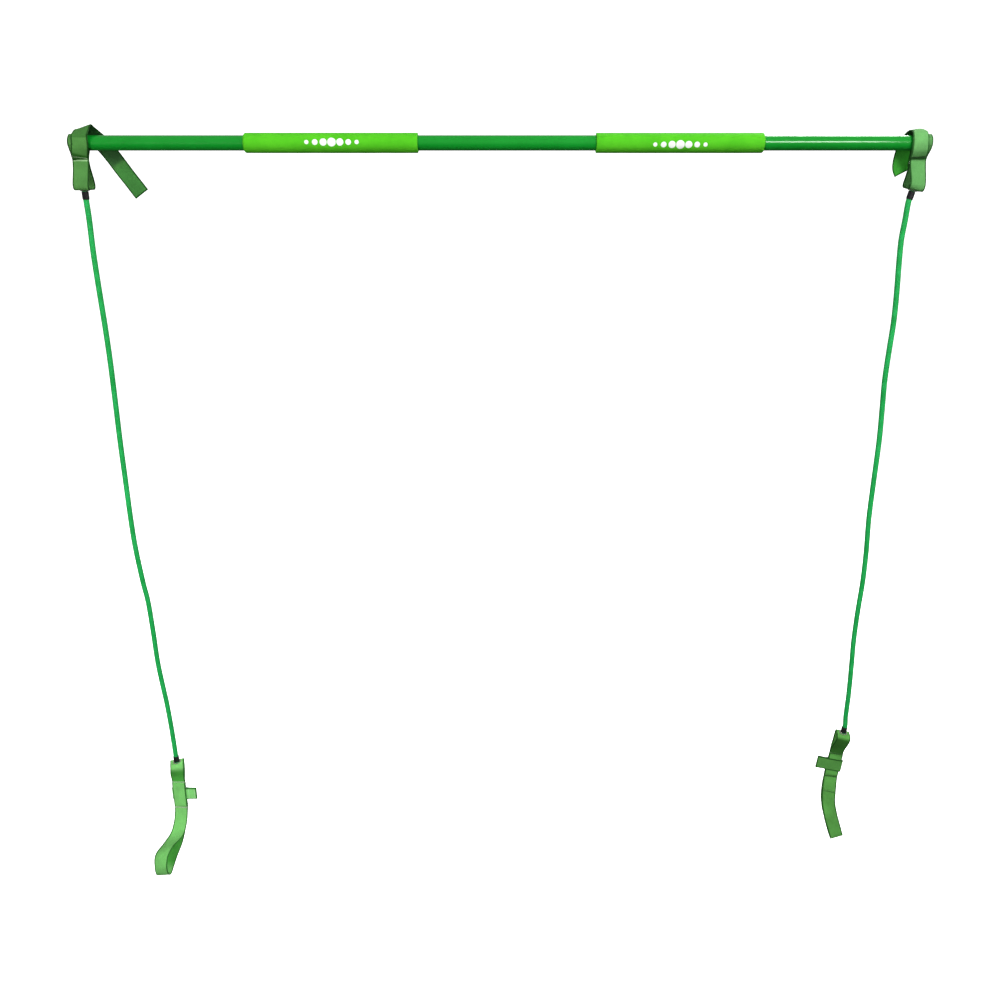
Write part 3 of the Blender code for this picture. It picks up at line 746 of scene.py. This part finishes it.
def ease_corners(profile):
    """Cuts each sharp corner of a closed outline with a short three-point curve, but none on the axis."""
    share, most = 0.22, 0.0005
    out = []
    count = len(profile)
    for i in range(count):
        b = Vector(profile[i])
        a, c = Vector(profile[i - 1]), Vector(profile[(i + 1) % count])
        if b.x < 1e-7:
            out.append(tuple(b))
            continue
        p = b + (a - b).normalized() * min((a - b).length * share, most)
        q = b + (c - b).normalized() * min((c - b).length * share, most)
        out += [tuple(p), tuple((p + q) / 4 + b / 2), tuple(q)]
    return out


def weld_and_turn_out(obj):
    """Joins points that lie together, and turns every face outward."""
    bm = bmesh.new()
    bm.from_mesh(obj.data)
    bmesh.ops.remove_doubles(bm, verts=bm.verts, dist=1e-6)
    bmesh.ops.dissolve_degenerate(bm, dist=1e-7, edges=bm.edges)
    bmesh.ops.recalc_face_normals(bm, faces=bm.faces)
    bm.to_mesh(obj.data)
    bm.free()
    obj.data.shade_smooth()
    obj.data.set_sharp_from_angle(angle=radians(40))


def bar_tack(strap, index, lift, height=0.0024):
    """A dense zigzag row of thread across a strap, as a line of points."""
    half_width, pitch = 0.0113, 0.00048
    count = int(2 * half_width / pitch)
    line = []
    for k in range(count + 1):
        a = -half_width + 2 * half_width * k / count
        b = (height / 2) * (1 if k % 2 else -1)
        line.append(strap.at(index, b, a, lift))
    return line


def stitch_run(strap, index, along):
    """Separate stitches in a straight row across a strap, at a distance along it from the indexed point."""
    half_width, lift = 0.0105, 0.00088
    stitch, pitch = 0.0026, 0.0034
    arch = ((0, -0.00016), (0.25, 0), (0.5, 0.00003), (0.75, 0), (1, -0.00016))
    count = max(1, round(2 * half_width / pitch))
    lines = []
    for k in range(count):
        start = -half_width + 2 * half_width * k / count
        reach = 2 * half_width * stitch / pitch / count
        lines.append([strap.at(index, along, start + reach * share, lift + rise) for share, rise in arch])
    return lines


# ---------------------------------------------------------------- routes of the straps and the tube


def blend(a, b, share):
    share = max(0.0, min(1.0, share))
    share = share * share * (3 - 2 * share)
    return a + (b - a) * share


def bar_strap_frame(spec, z):
    """At a height on the hanging part: its middle along X, the way its width runs and the way it faces."""
    up = max(0.0, min(1.0, (z - BAR_STRAP_FLAT_Z) / BIGHT_LENGTH))
    turn = blend(spec["turn"], 0, up)
    lean = blend(spec["lean"], 0, up)
    x = blend(spec["flat_x"], spec["seam_x"], up) + BIGHT_LENGTH * tan(spec["lean"]) * up * (1 - up) ** 2
    width = Vector((cos(turn) * cos(lean), -sin(turn) * cos(lean), -sin(lean)))
    return x, width, Vector((-sin(turn), -cos(turn), 0))


def bar_strap_axis(spec):
    """Straight out of the flat end of a bar strap's bight, downward."""
    _, width, front = bar_strap_frame(spec, BAR_STRAP_FLAT_Z)
    return width.cross(front).normalized()


def bar_strap_stations(spec):
    """The closed route of a bar strap: down the front of its bight, and round the bar at the top."""
    seam_z = BAR_STRAP_FLAT_Z + BIGHT_LENGTH
    rise = 0.020

    def station(out, z):
        x, width, front = bar_strap_frame(spec, z)
        if z > seam_z:
            x = blend(spec["seam_x"], spec["bar_x"], (z - seam_z) / rise)
        return Vector((x, 0, z)) + front * out, width

    shoulder = ((0.0039, -0.0165), (0.0088, -0.0094))
    front = [station(out, BAR_STRAP_FLAT_Z + up) for out, up in BIGHT]
    front += [station(out, z) for out, z in shoulder]
    angles = [radians(a) for a in range(-15, 196, 15)]
    ring = [station(RING_RADIUS * cos(a), RING_RADIUS * sin(a)) for a in angles]
    back = [station(-out, z) for out, z in reversed(shoulder)]
    back += [station(-out, BAR_STRAP_FLAT_Z + up) for out, up in reversed(BIGHT)]
    return [station(0, BAR_STRAP_FLAT_Z)] + front + ring + back


def foot_strap_stations(spec):
    """The closed route of a foot strap: round its bight, along the layers below it, and round the loop."""
    flat = Vector(spec["flat"])
    seam = Vector((spec["seam_x"], 0, flat.z - BIGHT_LENGTH))
    end = Vector(spec["sewn_end"])
    flat_width = Vector(spec["flat_width"]).normalized()
    width = Vector(spec["width"]).normalized()

    def bight_station(out, down, sign):
        share = down / BIGHT_LENGTH
        across = Vector([blend(p, q, share) for p, q in zip(flat_width, width)]).normalized()
        front = Vector((across.y, -across.x, 0)).normalized()
        x = blend(flat.x, seam.x, share)
        return (Vector((x, 0, flat.z - down)) + front * out * sign, across)

    def tunnel_station(down, sign):
        front = Vector((width.y, -width.x, 0)).normalized()
        offset = LAYER_OFFSET if down == tunnel else TUNNEL_OFFSET
        return (seam.lerp(end, down / tunnel) + front * offset * sign, width)

    tunnel = (end - seam).length
    downs = (TUNNEL_RAMP, tunnel * 0.4, tunnel * 0.6, tunnel - TUNNEL_RAMP, tunnel)
    front = [bight_station(out, down, 1) for out, down in BIGHT]
    front += [tunnel_station(down, 1) for down in downs]
    back = [tunnel_station(down, -1) for down in reversed(downs)]
    back += [bight_station(out, down, -1) for out, down in reversed(BIGHT)]
    return [bight_station(0, 0, 1)] + front + list(spec["loop"]) + back


def keeper_stations(spec):
    """The open route of a keeper: from one end of its tab, round one layer of the foot strap, and back."""
    seam = Vector((spec["seam_x"], 0, spec["flat"][2] - BIGHT_LENGTH))
    end = Vector(spec["sewn_end"])
    along = (end - seam).normalized()
    across = Vector(spec["width"])
    front = Vector((across.y, -across.x, 0)).normalized()
    across = (across - along * across.dot(along)).normalized()
    through = along.cross(across).normalized()
    middle = seam + along * ((spec["keeper_z"] - seam.z) / along.z)
    middle += front * TUNNEL_OFFSET * spec["held_layer"]
    across = across * spec["tab_side"]
    half = WEBBING_THICKNESS / 2
    depth = half + 0.0004 + half
    far = -(WEBBING_WIDTH / 2 + 0.0009 + half)
    near = WEBBING_WIDTH / 2 + 0.0015
    tip = WEBBING_WIDTH / 2 + 0.019
    outline = [
        (tip, LAYER_OFFSET), (near + 0.0040, LAYER_OFFSET), (near, depth * 0.92), (0.0090, depth),
        (-0.0090, depth), (far + 0.0010, depth), (far, depth - 0.0010), (far, 0),
    ]
    outline += [(a, -t) for a, t in reversed(outline[:-1])]
    return [(middle + across * a + through * t, along) for a, t in outline]


def flat_axis(spec):
    """Straight out of the flat end of a foot strap's bight, upward."""
    across = Vector(spec["flat_width"]).normalized()
    front = Vector((across.y, -across.x, 0)).normalized()
    return front.cross(across).normalized()


def bar_strap_end(side):
    """The middle of a bar strap's flat end, and the way the tube leaves it."""
    spec = BAR_STRAPS[side]
    return Vector((spec["flat_x"], 0, BAR_STRAP_FLAT_Z)), bar_strap_axis(spec)


def tube_line(side):
    """The tube's centre line, from its end in the upper stopper to its end in the lower one, and how long."""
    top, axis = bar_strap_end(side)
    foot = FOOT_STRAPS[side]
    reaches = (-TUBE_END_ABOVE_FLAT, 0.004, SLEEVE_END + 0.003)
    heads = [tuple(top + axis * reach) for reach in reaches]
    feet = [tuple(Vector(foot["flat"]) + flat_axis(foot) * reach) for reach in reversed(reaches)]
    rows = heads + [(x, 0, z) for x, z in TUBE_ROUTES[side]] + feet
    route, length = even_route(rows, TUBE_STEP, False)
    return [Vector(p) for p in route], length


# ---------------------------------------------------------------- pieces


def make_tube(side, material):
    """The tube in two pieces: a short one in the upper sleeve, and the long one below it."""
    line, length = tube_line(side)
    top, axis = bar_strap_end(side)
    joint = top + axis * SLEEVE_END
    head = [p for p in line if p.z > joint.z + 0.0005]
    rest = [p for p in line if p.z < joint.z - 0.0005]
    stub = sweep(head + [joint], TUBE_RADIUS, TUBE_SIDES)
    new_object(side + "_tube_head_stub", *stub[:2], material, side + "_tube_head", stub[2])
    path = [joint] + rest
    rod = sweep(path, TUBE_RADIUS, TUBE_SIDES)
    tube = new_object(side + "_stretch_tube", *rod[:2], material, None, rod[2])
    foot = FOOT_STRAPS[side]
    mouth_foot = Vector(foot["flat"]) + flat_axis(foot) * SLEEVE_END
    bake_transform(tube)
    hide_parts(side + "_resistance_tube")
    [tuple(p) for p in path]


def fittings(prefix, centre, axis, strap_body, tube_body, mats):
    """Eyelet, washer, stopper and sleeve at one end of a tube."""
    centre, axis = Vector(centre), Vector(axis).normalized()
    face = WEBBING_THICKNESS / 2
    washer_top = -(face + GAP)
    washer = washer_top - WASHER_THICKNESS
    flange = face + GAP
    outline = [
        (0.0051, washer), (0.0058, washer), (0.0058, flange), (0.0071, flange),
        (0.0070, flange + 0.0005), (0.0067, flange + 0.0009), (0.0061, flange + 0.0010),
        (0.0054, flange + 0.0008), (0.0051, flange + 0.0002),
    ]
    eyelet = lathe(prefix + "_rolled_eyelet", outline, centre, axis, mats["metal"], strap_body)
    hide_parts(prefix + "_eyelet")
    outline = [(0.0061, washer), (0.0070, washer), (0.0070, washer_top), (0.0061, washer_top)]
    ring = lathe(prefix + "_back_washer", outline, centre, axis, mats["metal"], strap_body)
    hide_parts(prefix + "_washer")
    seat = washer - GAP
    outline = [
        (0, seat - 0.0072), (0.0047, seat - 0.0072), (0.0047, seat), (0.0060, seat),
        (0.0068, seat - 0.0010), (0.0068, seat - 0.0024), (0.0066, seat - 0.0028),
        (0.0068, seat - 0.0032), (0.0068, seat - 0.0055), (0.0058, seat - 0.0082),
        (0.0038, seat - 0.0095), (0, seat - 0.0098),
    ]
    stopper = lathe(prefix + "_end_stopper", outline, centre, axis, mats["plastic"], tube_body)
    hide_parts(prefix + "_stopper")
    start, end = SLEEVE_START, SLEEVE_END
    outline = [
        (0.00455, start), (0.0050, start), (0.0053, start + 0.0004), (0.00523, start + 0.0030),
        (0.0053, start + 0.0036), (0.00520, start + 0.0042), (0.00523, start + 0.0080),
        (0.0053, start + 0.0086), (0.00518, start + 0.0092), (0.00508, end - 0.0006), (0.0048, end),
        (0.00455, end),
    ]
    sleeve = lathe(prefix + "_shrink_sleeve", outline, centre, axis, mats["rubber"], tube_body, wobble=0.006)
    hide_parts(prefix + "_sleeve")


def make_bar(mats):
    """The bar with a plug in each end."""
    inner = BAR_RADIUS - BAR_WALL
    outline = [(inner, -BAR_HALF), (BAR_RADIUS, -BAR_HALF), (BAR_RADIUS, BAR_HALF), (inner, BAR_HALF)]
    bar = lathe("bar_enamelled_tube", outline, (0, 0, 0), (1, 0, 0), mats["paint"], "bar", sides=128)
    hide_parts("bar_tube")
    for side, outward in (("left", -1), ("right", 1)):
        spigot = inner - GAP
        outline = [
            (0, -0.018), (spigot - 0.0010, -0.018), (spigot, -0.016), (spigot, GAP), (BAR_RADIUS, GAP),
            (BAR_RADIUS, 0.0014), (0.0103, 0.0022), (0.0070, 0.0022), (0.0066, 0.0018), (0, 0.0018),
        ]
        place, axis = (outward * BAR_HALF, 0, 0), (outward, 0, 0)
        cap = lathe(side + "_moulded_cap", outline, place, axis, mats["plastic"], "bar", sides=96)
        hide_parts(side + "_end_cap")


def make_grip(side):
    """A foam sleeve with a rounded outer end and a square inner end, a little uneven along its length."""
    low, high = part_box(side + "_foam_grip")
    length = high.x - low.x
    outward = -1 if side == "left" else 1
    start = low.x if outward > 0 else high.x
    rings, rounding, edge = 110, 0.0034, 0.0007
    bore = BAR_RADIUS + GAP
    profile = [(bore + (GRIP_RADIUS - edge - bore) * k / 6, 0.0) for k in range(7)]
    profile += [(GRIP_RADIUS - 0.00025, 0.00022), (GRIP_RADIUS, edge)]
    profile += [(GRIP_RADIUS, edge + (length - rounding - edge) * k / rings) for k in range(1, rings)]
    for degrees in range(90, -1, -10):
        inward, forward = 1 - sin(radians(degrees)), 1 - cos(radians(degrees))
        profile.append((GRIP_RADIUS - rounding * inward, length - rounding * forward))
    profile += [(bore, length * (1 - k / 12)) for k in range(12)]

    def place(angle, r, d):
        x = start + outward * d
        if r > BAR_RADIUS + 0.0015:
            r += 0.00010 * noise.noise(Vector((x * 60, cos(angle) * 1.5, sin(angle) * 1.5)))
            r += 0.00003 * noise.noise(Vector((x * 420, cos(angle) * 6, sin(angle) * 6)))
        return Vector((x, cos(angle) * r, sin(angle) * r))

    grip = turned(side + "_foam_sleeve", profile, 128, place, foam_material(side))
    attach(grip, "bar")
    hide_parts(side + "_foam_grip")


def make_side(side, mats, cloth):
    """Everything that hangs at one end of the bar: its straps, their stitches, the tube and the fittings."""
    spec, foot = BAR_STRAPS[side], FOOT_STRAPS[side]
    top, top_axis = bar_strap_end(side)
    bottom = Vector(foot["flat"])
    body = side + "_strap"
    seam_z = BAR_STRAP_FLAT_Z + BIGHT_LENGTH

    bar_strap = Strap(bar_strap_stations(spec), True)
    front_seam = Vector((spec["seam_x"], -LAYER_OFFSET, seam_z))
    back_seam = Vector((spec["seam_x"], LAYER_OFFSET, seam_z))
    shades = reaches(bar_strap, cloth["bar_shades"])
    ring = make_strap(
        side + "_bar_loop_webbing",
        bar_strap,
        webbing_material(side + "_bar_webbing_cloth", cloth["bar"], None, shades),
        body,
        hole=top,
        wave=EDGE_RIPPLE,
        pinches=(front_seam, back_seam),
    )
    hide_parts(side + "_bar_strap")

    cinch = Strap(CINCH_ROUTES[side], False)
    shades = reaches(cinch, cloth["shades"])
    tail = make_strap(
        side + "_cinch_webbing",
        cinch,
        webbing_material(side + "_cinch_webbing_cloth", cloth["cinch"], cinch.length, shades),
        body,
        wave=EDGE_RIPPLE,
        pinches=(cinch.places[2],),
        cup=CINCH_CUPS[side],
    )
    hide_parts(side + "_cinch_strap")

    # The cinch strap is sewn on beside its fourth point.
    lines = [bar_tack(cinch, 3, -STITCH_LIFT)]
    lift = sign_out(bar_strap, back_seam) * STITCH_LIFT
    lines.append(bar_tack(bar_strap, bar_strap.nearest(back_seam), lift))
    tack = rods(side + "_bar_loop_stitching", lines, THREAD_RADIUS, cloth["bar_thread"], body)

    fittings(side + "_upper", top, top_axis, body, side + "_tube_head", mats)
    make_tube(side, mats["tube"])
    fittings(side + "_lower", bottom, flat_axis(foot), side + "_foot", side + "_tube_foot", mats)

    foot_strap = Strap(foot_strap_stations(foot), True)
    seam = Vector((foot["seam_x"], 0, bottom.z - BIGHT_LENGTH))
    end = Vector(foot["sewn_end"])
    front = Vector((foot["width"][1], -foot["width"][0], 0)).normalized()
    seams = [seam + front * LAYER_OFFSET, seam - front * LAYER_OFFSET]
    seams += [end + front * LAYER_OFFSET, end - front * LAYER_OFFSET]
    shades = cloth["foot_shades"] + [seam_band(place, cloth["seam"]) for place in seams]
    loop = make_strap(
        side + "_foot_loop_webbing",
        foot_strap,
        webbing_material(side + "_foot_webbing_cloth", cloth["foot"], None, reaches(foot_strap, shades)),
        side + "_foot",
        hole=bottom,
        wave=EDGE_RIPPLE,
        pinches=tuple(seams),
    )
    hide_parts(side + "_foot_strap")
    lines = []
    for place in seams + cloth["extra_seams"]:
        lift = sign_out(foot_strap, place) * STITCH_LIFT
        lines.append(bar_tack(foot_strap, foot_strap.nearest(place), lift, FOOT_TACK_HEIGHT))
    rows = rods(side + "_foot_loop_stitching", lines, THREAD_RADIUS, cloth["foot_thread"], side + "_foot")

    band = Strap(keeper_stations(foot), False, spacing=0.0008)
    keeper_cloth = webbing_material(side + "_keeper_webbing_cloth", cloth["keeper"], band.length)
    keeper = make_strap(side + "_keeper_webbing", band, keeper_cloth, side + "_keeper_band")
    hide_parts(side + "_keeper")
    lines = []
    for from_end in KEEPER_STITCH_ROWS:
        lines += stitch_run(band, 0, from_end)
        lines += stitch_run(band, len(band.places) - 1, -from_end)
    thread = cloth["foot_thread"]
    box = rods(side + "_keeper_stitching", lines, KEEPER_THREAD_RADIUS, thread, side + "_keeper_band")


def reaches(strap, shades):
    """Shades between two places, turned into shades between two distances along the strap."""
    found = []
    for start, end, *look in shades:
        low, high = sorted(strap.nearest(Vector(place)) * strap.step for place in (start, end))
        if not strap.closed and low < 0.003:
            low = -0.02
        if not strap.closed and high > strap.length - 0.003:
            high += 0.02
        found.append((low, high, *look))
    return found


def seam_band(place, colour, half=0.0011):
    """A narrow band across a strap, centred on a place, in the form of a shade."""
    place = Vector(place)
    return (place + Vector((0, 0, half)), place - Vector((0, 0, half)), colour, 0.0006)


def sign_out(strap, place):
    """+1 where the strap's own outward direction points away from its partner layer at y = 0, else -1."""
    index = strap.nearest(place)
    away = strap.places[index].y
    return 1.0 if strap.out[index].y * away > 0 else -1.0


# ---------------------------------------------------------------- stage and light


def cove(name, z, material):
    """A round floor that curves up into a wall on every side, so that it fills every view."""
    floor_radius, bend, wall, segments = 7.0, 3.0, 24.0, 64
    rings = [(floor_radius * k / 4, z) for k in range(1, 5)]
    for angle in range(10, 91, 10):
        turn = radians(angle)
        rings.append((floor_radius + bend * sin(turn), z + bend * (1 - cos(turn))))
    rings.append((floor_radius + bend, z + wall))
    vertices = [(0, 0, z)]
    for radius, height in rings:
        for k in range(segments):
            turn = 2 * pi * k / segments
            vertices.append((radius * cos(turn), radius * sin(turn), height))
    faces = [(0, 1 + k, 1 + (k + 1) % segments) for k in range(segments)]
    for ring in range(len(rings) - 1):
        low, high = 1 + ring * segments, 1 + (ring + 1) * segments
        for k in range(segments):
            after = (k + 1) % segments
            faces.append((low + k, high + k, high + after, low + after))
    mesh = bpy.data.meshes.new(name)
    mesh.from_pydata(vertices, [], faces)
    mesh.shade_smooth()
    mesh.materials.append(material)
    obj = bpy.data.objects.new(name, mesh)
    bpy.context.collection.objects.link(obj)
    obj.visible_diffuse = False
    obj.visible_glossy = False
    obj.visible_shadow = False


def area_light(name, place, aim, size, energy, glossy=True, diffuse=True):
    data = bpy.data.lights.new(name, "AREA")
    data.shape = "RECTANGLE"
    data.size, data.size_y = size
    data.energy = energy
    light = bpy.data.objects.new(name, data)
    light.visible_glossy = glossy
    light.visible_diffuse = diffuse
    bpy.context.collection.objects.link(light)
    light.location = place
    light.rotation_euler = (Vector(aim) - Vector(place)).to_track_quat("-Z", "Y").to_euler()


def make_stage():
    n = Nodes("pale_floor")
    grain = n.noise(n.object_place(), 3.0, 3.0)
    floor_material = n.finish(
        Base_Color=n.mix(grain, (0.90, 0.90, 0.90, 1), (0.93, 0.93, 0.93, 1)),
        Roughness=0.9,
        Emission_Color=(1, 1, 1, 1),
        Emission_Strength=1.0,
    )
    cove("floor", FLOOR_Z, floor_material)

    world = bpy.data.worlds.new("studio")
    bpy.context.scene.world = world
    world.use_nodes = True
    tree = world.node_tree
    place = tree.nodes.new("ShaderNodeTexCoord")
    split = tree.nodes.new("ShaderNodeSeparateXYZ")
    ramp = tree.nodes.new("ShaderNodeMapRange")
    for key, value in (("From Min", -0.45), ("From Max", 0.10), ("To Min", 0.05), ("To Max", 0.42)):
        ramp.inputs[key].default_value = value
    tree.links.new(place.outputs["Generated"], split.inputs[0])
    tree.links.new(split.outputs[2], ramp.inputs["Value"])
    background = tree.nodes["Background"]
    background.inputs["Color"].default_value = (1, 1, 1, 1)
    tree.links.new(ramp.outputs[0], background.inputs["Strength"])

    area_light("key_right", (1.3, -2.2, 1.7), (0.1, 0, -0.4), (1.1, 1.1), 88, glossy=False)
    area_light("fill_left", (-1.5, -2.2, -0.2), (-0.4, 0, -1.0), (1.2, 1.2), 34, glossy=False)
    area_light("fill_back", (0.3, 2.6, 0.5), (0.1, 0, -0.5), (1.5, 1.5), 55, glossy=False)
    area_light("strip_right", (1.32, -1.78, 0.59), (0.5, 0, 0), (0.52, 0.5), 21, diffuse=False)
    area_light("rim_right", (0.80, 0.8, 0.80), (0.75, 0, 0), (0.7, 0.25), 14, diffuse=False)
    scene = bpy.context.scene
    scene.view_settings.view_transform = "Standard"
    scene.view_settings.look = "None"


def main():
    make_camera()
    # Both ends carry the same green webbing; each strap's colour is made lighter or darker for how it is lit,
    # which is painted light and shade.
    cloths = {
        "left": {
            "bar": (0.093, 0.282, 0.066, 1),
            "cinch": (0.096, 0.305, 0.066, 1),
            "foot": (0.235, 0.710, 0.182, 1),
            "keeper": (0.285, 0.830, 0.235, 1),
            "seam": (0.62, 0.95, 0.52),
            "bar_thread": thread_material("light_thread", (0.52, 0.82, 0.42, 1)),
            "foot_thread": thread_material("pale_thread", (0.80, 0.98, 0.72, 1)),
            # A light band just below the cinch's cut end: light thread, and partly a painted highlight of
            # that cut edge.
            "bar_shades": [seam_band((-0.6349, -0.0012, -0.0246), (0.42, 0.76, 0.34), 0.0009)],
            # Painted shade: darker at the foot of the wrap, over the fold at its top, where the strap goes
            # down behind the bar, and down the tail.
            "shades": [
                ((-0.6349, -0.0016, -0.0240), (-0.6349, -0.0090, -0.0145), (0.030, 0.160, 0.018), 0.004),
                ((-0.6340, -0.0125, 0.0080), (-0.6249, 0.0062, 0.0217), (0.060, 0.215, 0.042), 0.002),
                ((-0.6249, 0.0062, 0.0217), (-0.6040, 0.0156, -0.0030), (0.009, 0.062, 0.011), 0.004),
                ((-0.6040, 0.0156, -0.0030), (-0.5830, 0.0150, -0.0320), (0.034, 0.112, 0.032), 0.014),
                ((-0.5830, 0.0150, -0.0320), (-0.5532, 0.0140, -0.0748), (0.055, 0.225, 0.046), 0.014),
            ],
            # Painted shade: on the front of the bight above its seam, and on the loop's back layer.
            "foot_shades": [
                ((-0.6140, -0.0120, -1.1190), (-0.6155, -0.0012, -1.1540), (0.085, 0.470, 0.060), 0.012),
                ((-0.6600, 0.0040, -1.3500), (-0.6200, 0.0050, -1.2350), (0.105, 0.550, 0.075), 0.016),
            ],
            "extra_seams": [],
        },
        "right": {
            "bar": (0.128, 0.385, 0.108, 1),
            "cinch": (0.175, 0.495, 0.148, 1),
            "foot": (0.130, 0.445, 0.087, 1),
            "keeper": (0.098, 0.325, 0.066, 1),
            # Dark seam bands and a dark thread for the bar strap's tack: painted shade in the stitch grooves.
            "seam": (0.055, 0.230, 0.035),
            "bar_thread": thread_material("shaded_thread", (0.05, 0.20, 0.04, 1)),
            "foot_thread": thread_material("green_thread", (0.15, 0.42, 0.10, 1)),
            "bar_shades": [],
            # Painted shade: darker just above the seam, where the strap goes down behind the bar, and on the
            # tail.
            "shades": [
                ((0.6330, -0.0016, -0.0236), (0.6335, -0.0060, -0.0185), (0.040, 0.170, 0.030), 0.003),
                ((0.6302, 0.0050, 0.0190), (0.6180, 0.0158, -0.0040), (0.008, 0.060, 0.010), 0.004),
                ((0.6180, 0.0158, -0.0040), (0.6173, 0.0145, -0.0440), (0.045, 0.360, 0.031), 0.006),
            ],
            # Painted shade on the front of the bight above its seam.
            "foot_shades": [
                ((0.6438, -0.0115, -1.0485), (0.6362, -0.0012, -1.0900), (0.036, 0.165, 0.021), 0.008),
            ],
            "extra_seams": [Vector((0.6308, -0.0045, -1.1700))],
        },
    }
    mats = {
        "paint": bar_paint_material(),
        "tube": tube_material(),
        "rubber": black_material("sleeve_rubber", 0.62, 1500.0),
        "plastic": black_material("moulded_plastic", 0.5, 2600.0),
        "metal": plated_material(),
    }
    make_bar(mats)
    for side in ("left", "right"):
        make_grip(side)
        make_side(side, mats, cloths[side])
    make_stage()


main()
bpy.context.view_layer.update()
